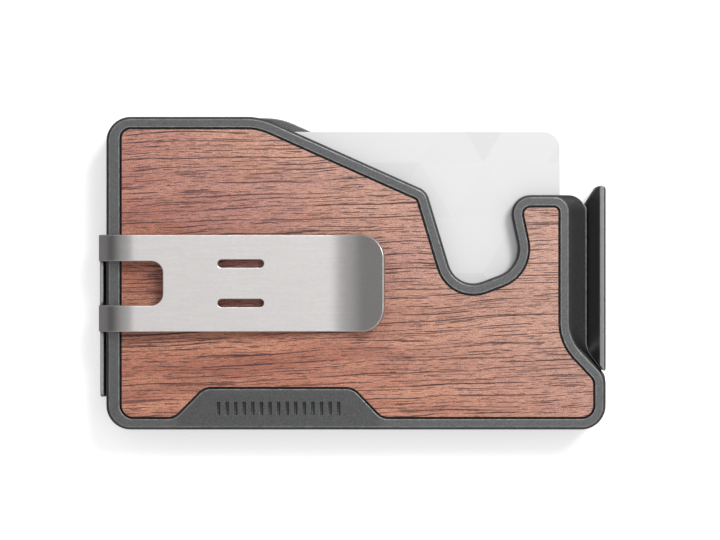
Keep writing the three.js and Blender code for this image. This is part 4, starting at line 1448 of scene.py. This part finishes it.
@dataclass
class MoneyClip:
    """The clip: one blank of spring steel, cut flat with rounded rims and then folded."""

    HEAD_POINTS = 48  # round the hole for a screw's head
    FLAT_NORMAL = 0.999

    steel: float = 0.8 * MM
    edge: float = 0.2 * MM
    foot_bend: float = 1.4 * MM
    large_bend: float = 6.5 * MM
    crown_rise: float = 3.65 * MM
    flare_radius: float = 12.0 * MM
    flare: float = 27.0  # degrees
    contact_inset: float = 45.3 * MM
    touch_gap: float = 0.1 * MM
    tip_inset: float = 55.1 * MM
    tip_corner: float = 4.8 * MM
    base_corner: float = 2.0 * MM
    base_shoulder: float = 1.4 * MM
    leaf_root: float = 1.2 * MM
    arc_step: float = 4.0  # degrees
    flex_line: float = 3.5 * MM
    window_end: float = 11.3 * MM
    window_width: float = 8.7 * MM
    window_sill: float = 4.6 * MM
    window_corner: float = 2.3 * MM
    sill_corner: float = 1.0 * MM
    slot_inset: float = 26.7 * MM
    slot_spacing: float = 7.8 * MM
    slot_length: float = 9.0 * MM
    slot_width: float = 1.5 * MM
    slot_round: float = 0.48
    head_gap: float = 0.03 * MM
    smooth_below: float = 50  # degrees
    screws: tuple[str, ...] = ("clip_screw_1", "clip_screw_2")

    def build(self) -> None:
        """Cut the blank and fold it."""
        line = self.folding_line()
        piece = self.blank(line)
        self.fold(piece, line)
        Bench.smooth(piece, angle=self.smooth_below)
        STEEL.dress(piece)
        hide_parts("clip_leaf", "clip_base")
        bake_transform(piece)
        faces = len(piece.data.polygons)
        LOG.info("%s bends between case and clip with %d faces", piece.name, faces)
        for node in self.screws:
            Screw(node).build()

    def folding_line(self) -> FoldingLine:
        """Work out the folding line from where its base, its bend and its tip lie.

        Returns:
            The folding line.
        """
        base_low, base_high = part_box("clip_base")
        leaf_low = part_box("clip_leaf")[0]
        case_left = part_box("front_shell")[0][0]
        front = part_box("front_shell")[1][2]
        start = Vector((base_high[0], base_low[2] + self.steel / 2))
        wall_x = leaf_low[0] + self.steel / 2
        crown = front + self.crown_rise
        contact = front + self.touch_gap + self.steel / 2
        bend = Vector((wall_x + self.large_bend, crown - self.large_bend))
        flare = Vector((case_left + self.contact_inset, contact + self.flare_radius))
        apart = flare - bend
        lean = math.asin((self.large_bend + self.flare_radius) / apart.length)
        slope = math.atan2(apart.y, apart.x) - lean
        bend_end = bend + self.large_bend * Vector((-math.sin(slope), math.cos(slope)))
        flare_start = flare + self.flare_radius * Vector((math.sin(slope), -math.cos(slope)))
        rise = math.radians(self.flare)
        flare_end = flare + self.flare_radius * Vector((math.sin(rise), -math.cos(rise)))
        runs = (
            Run(start.x - wall_x - self.foot_bend),
            Run.bend(self.foot_bend, -90),
            Run(bend.y - start.y - self.foot_bend),
            Run.bend(self.large_bend, -90 + math.degrees(slope)),
            Run((flare_start - bend_end).length),
            Run.bend(self.flare_radius, self.flare - math.degrees(slope)),
            Run((case_left + self.tip_inset - flare_end.x) / math.cos(rise)),
        )
        wall_foot = start.y + self.foot_bend
        return FoldingLine(start, runs, case_left, wall_x, wall_foot, bend, bend_end.x, slope)

    def blank(self, line: FoldingLine) -> Piece:
        """Cut the flat blank with its openings, scored wherever it will bend.

        Args:
            line: The folding line.

        Returns:
            The flat blank, with its length along X.
        """
        leaf_low, leaf_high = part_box("clip_leaf")
        middle = (leaf_low[1] + leaf_high[1]) / 2
        outlines = [self.outer(line), self.window(line, middle), *self.slots(line, middle)]
        outlines += [self.head_hole(screw, line) for screw in self.screws]
        thickness = self.steel / 2
        piece = plate("spring_clip", outlines, -thickness, thickness, self.edge)
        self.crease_rims(piece)
        with Bench.editing(piece):
            for place in line.scores(self.steel):
                bpy.ops.mesh.select_all(action="SELECT")
                bpy.ops.mesh.bisect(plane_co=(place, 0, 0), plane_no=(1, 0, 0))
        return piece

    def outer(self, line: FoldingLine) -> list[Vector]:
        """The blank's outer outline: the wide base, and then the narrower leaf.

        Args:
            line: The folding line.

        Returns:
            The outline's points.
        """
        base_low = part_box("clip_base")[0]
        leaf_low, leaf_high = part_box("clip_leaf")
        step = line.on_wall(self.flex_line)
        end = line.length()
        corners = [
            Corner(0, base_low[1], self.base_corner),
            Corner(step, base_low[1], self.base_shoulder),
            Corner(step, leaf_low[1], self.leaf_root),
            Corner(end, leaf_low[1], self.tip_corner),
            Corner(end, leaf_high[1], self.tip_corner),
            Corner(0, leaf_high[1], self.base_corner),
        ]
        return rounded(corners, step=self.arc_step)

    def window(self, line: FoldingLine, middle: float) -> list[Vector]:
        """The opening in the large bend.

        Args:
            line: The folding line.
            middle: The middle of the leaf's width.

        Returns:
            The outline's points.
        """
        half = self.window_width / 2
        sill = line.on_wall(self.window_sill)
        end = line.on_leg(self.window_end)
        corners = [
            Corner(sill, middle - half, self.sill_corner),
            Corner(end, middle - half, self.window_corner),
            Corner(end, middle + half, self.window_corner),
            Corner(sill, middle + half, self.sill_corner),
        ]
        return rounded(corners)

    def slots(self, line: FoldingLine, middle: float) -> list[list[Vector]]:
        """The two round-ended slots in the front leg.

        Args:
            line: The folding line.
            middle: The middle of the leaf's width.

        Returns:
            Each slot's points.
        """
        along = line.on_leg(self.slot_inset)
        reach = self.slot_length / 2
        half = self.slot_width / 2
        radius = self.slot_round * self.slot_width
        rows = [middle + side * self.slot_spacing for side in (-0.5, 0.5)]
        return [
            box_outline(along - reach, row - half, along + reach, row + half, radius)
            for row in rows
        ]

    def head_hole(self, screw: str, line: FoldingLine) -> list[Vector]:
        """The outline on the blank of the hole that a screw's head fills.

        Args:
            screw: The screw's CAD node.
            line: The folding line.

        Returns:
            The hole's points.
        """
        low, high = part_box(screw)
        radius = (high[0] - low[0]) / 2 + self.head_gap
        along = line.start.x - (low[0] + high[0]) / 2
        across = (low[1] + high[1]) / 2
        turns = [math.tau * step / self.HEAD_POINTS for step in range(self.HEAD_POINTS)]
        return [
            Vector((along + radius * math.cos(turn), across + radius * math.sin(turn)))
            for turn in turns
        ]

    def crease_rims(self, piece: Piece) -> None:
        """Keep the blank's two flat sides apart from its rounded rims in shading.

        Args:
            piece: The flat blank.
        """
        flat: dict[tuple[int, int], int] = {}
        for face in piece.data.polygons:
            if abs(face.normal.z) > self.FLAT_NORMAL:
                for key in face.edge_keys:
                    flat[key] = flat.get(key, 0) + 1
        for edge in piece.data.edges:
            edge.use_edge_sharp = flat.get(edge.key, 0) == 1

    @staticmethod
    def fold(piece: Piece, line: FoldingLine) -> None:
        """Bend the flat blank along its folding line.

        Args:
            piece: The flat blank.
            line: The folding line.
        """
        for vertex in piece.data.vertices:
            point, heading = line.station(vertex.co.x)
            outwards = Vector((-math.sin(heading), math.cos(heading)))
            place = point + outwards * vertex.co.z
            vertex.co = (place.x, vertex.co.y, place.y)
        piece.data.update()


# ------------------------------------------------------------------ the studio


@dataclass(frozen=True)
class Softbox:
    """A square studio light that faces the object."""

    name: str
    place: tuple[float, float, float]
    size: float
    power: float

    def build(self) -> None:
        """Hang the light and aim it."""
        light = bpy.data.lights.new(self.name, "AREA")
        light.shape = "SQUARE"
        light.size = self.size
        light.energy = self.power
        holder = bpy.data.objects.new(self.name, light)
        holder.location = self.place
        holder.rotation_euler = (-Vector(self.place)).to_track_quat("-Z", "Y").to_euler()
        bpy.context.scene.collection.objects.link(holder)


@dataclass
class Studio:
    """A white table, soft lights and a camera straight above."""

    camera_height: float = 0.881
    camera_place: tuple[float, float] = (0.79 * MM, 0.63 * MM)
    lens: float = 219.6
    sensor: float = 36
    camera_range: tuple[float, float] = (0.01, 20)
    side_wall: float = 0.065
    end_wall: float = 0.40
    right_wall: float = 0.80
    ceiling: float = 0.50
    fill: float = 0.58
    glow: float = 0.42
    backdrop: float = 0.95
    table_white: Colour = (0.92, 0.92, 0.92)
    table_in_metal: Colour = (0.26, 0.26, 0.26)
    table_size: float = 6
    table_drop: float = 0.02 * MM  # below the object, so that the two never share a plane
    table_roughness: float = 0.8
    ends_span: Span = (0.25, 0.85)  # these read the direction of view, from -1 to 1
    low_span: Span = (0.30, 0.02)
    right_span: Span = (0.2, 0.9)
    overhead_span: Span = (0.25, 0.93)
    softboxes: tuple[Softbox, ...] = (
        Softbox("overhead", (0.235, 0.08, 1.25), 0.62, 1.06),
        Softbox("key", (0.50, 0.62, 1.00), 0.42, 9.0),
    )

    def build(self) -> None:
        """Set up the table, the lights and the camera."""
        scene = bpy.context.scene
        scene.view_settings.view_transform = "Standard"
        self.table()
        self.surroundings()
        for softbox in self.softboxes:
            softbox.build()
        camera = bpy.data.cameras.new("camera")
        camera.lens = self.lens
        camera.sensor_width = self.sensor
        camera.clip_start, camera.clip_end = self.camera_range
        holder = bpy.data.objects.new("camera", camera)
        holder.location = (*self.camera_place, self.camera_height)
        scene.collection.objects.link(holder)
        scene.camera = holder

    def table(self) -> None:
        """Lay the white table."""
        bpy.ops.object.select_all(action="DESELECT")
        bpy.ops.mesh.primitive_plane_add(
            size=self.table_size, location=(0, 0, -self.table_drop)
        )
        table = Bench.added("table")
        material = bpy.data.materials.new("white_table")
        material.use_nodes = True
        material.node_tree.nodes.clear()
        tree = Tree(material.node_tree)
        path = tree.node("LightPath")
        colour = tree.colours(
            path.outputs["Is Glossy Ray"], self.table_white, self.table_in_metal
        )
        lit = tree.math("MULTIPLY", path.outputs["Is Camera Ray"], self.glow)
        shader = tree.node(
            "BsdfPrincipled", Base_Color=colour, Roughness=self.table_roughness,
            Emission_Color=(1.0, 1.0, 1.0), Emission_Strength=lit,
        )
        tree.node("OutputMaterial", Surface=shader.outputs[0])
        table.data.materials.append(material)

    def surroundings(self) -> None:
        """A room that is dim towards its two sides, and paler overhead and at its ends."""
        world = bpy.data.worlds.new("studio")
        bpy.context.scene.world = world
        world.use_nodes = True
        world.node_tree.nodes.clear()
        tree = Tree(world.node_tree)
        view = tree.node("SeparateXYZ", Vector=tree.node("TexCoord").outputs["Generated"])
        ends = tree.remap(tree.math("ABSOLUTE", view.outputs["Y"]), *self.ends_span)
        walls = tree.math("ADD", self.side_wall, tree.math("MULTIPLY", ends, self.end_wall))
        low = tree.remap(view.outputs["Z"], *self.low_span)
        right = tree.math("MULTIPLY", tree.remap(view.outputs["X"], *self.right_span), low)
        walls = tree.math("ADD", walls, tree.math("MULTIPLY", right, self.right_wall))
        overhead = tree.remap(view.outputs["Z"], *self.overhead_span)
        shade = tree.math("ADD", walls, tree.math("MULTIPLY", overhead, self.ceiling))
        path = tree.node("LightPath")
        ambient = (self.fill, self.fill, self.fill)
        seen = (self.backdrop, self.backdrop, self.backdrop)
        shown = tree.colours(path.outputs["Is Glossy Ray"], ambient, shade)
        shown = tree.colours(path.outputs["Is Camera Ray"], shown, seen)
        room = tree.node("Background", Color=shown, Strength=1.0)
        tree.node("OutputWorld", Surface=room.outputs[0])


def main() -> None:
    """Build the card holder round its frame."""
    logging.basicConfig(level=logging.INFO, format="%(message)s")
    FRAME.update(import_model())
    Studio().build()
    CardCase().build()
    FanLever().build()
    CardStack().build()
    MoneyClip().build()


if __name__ == "__main__":
    main()
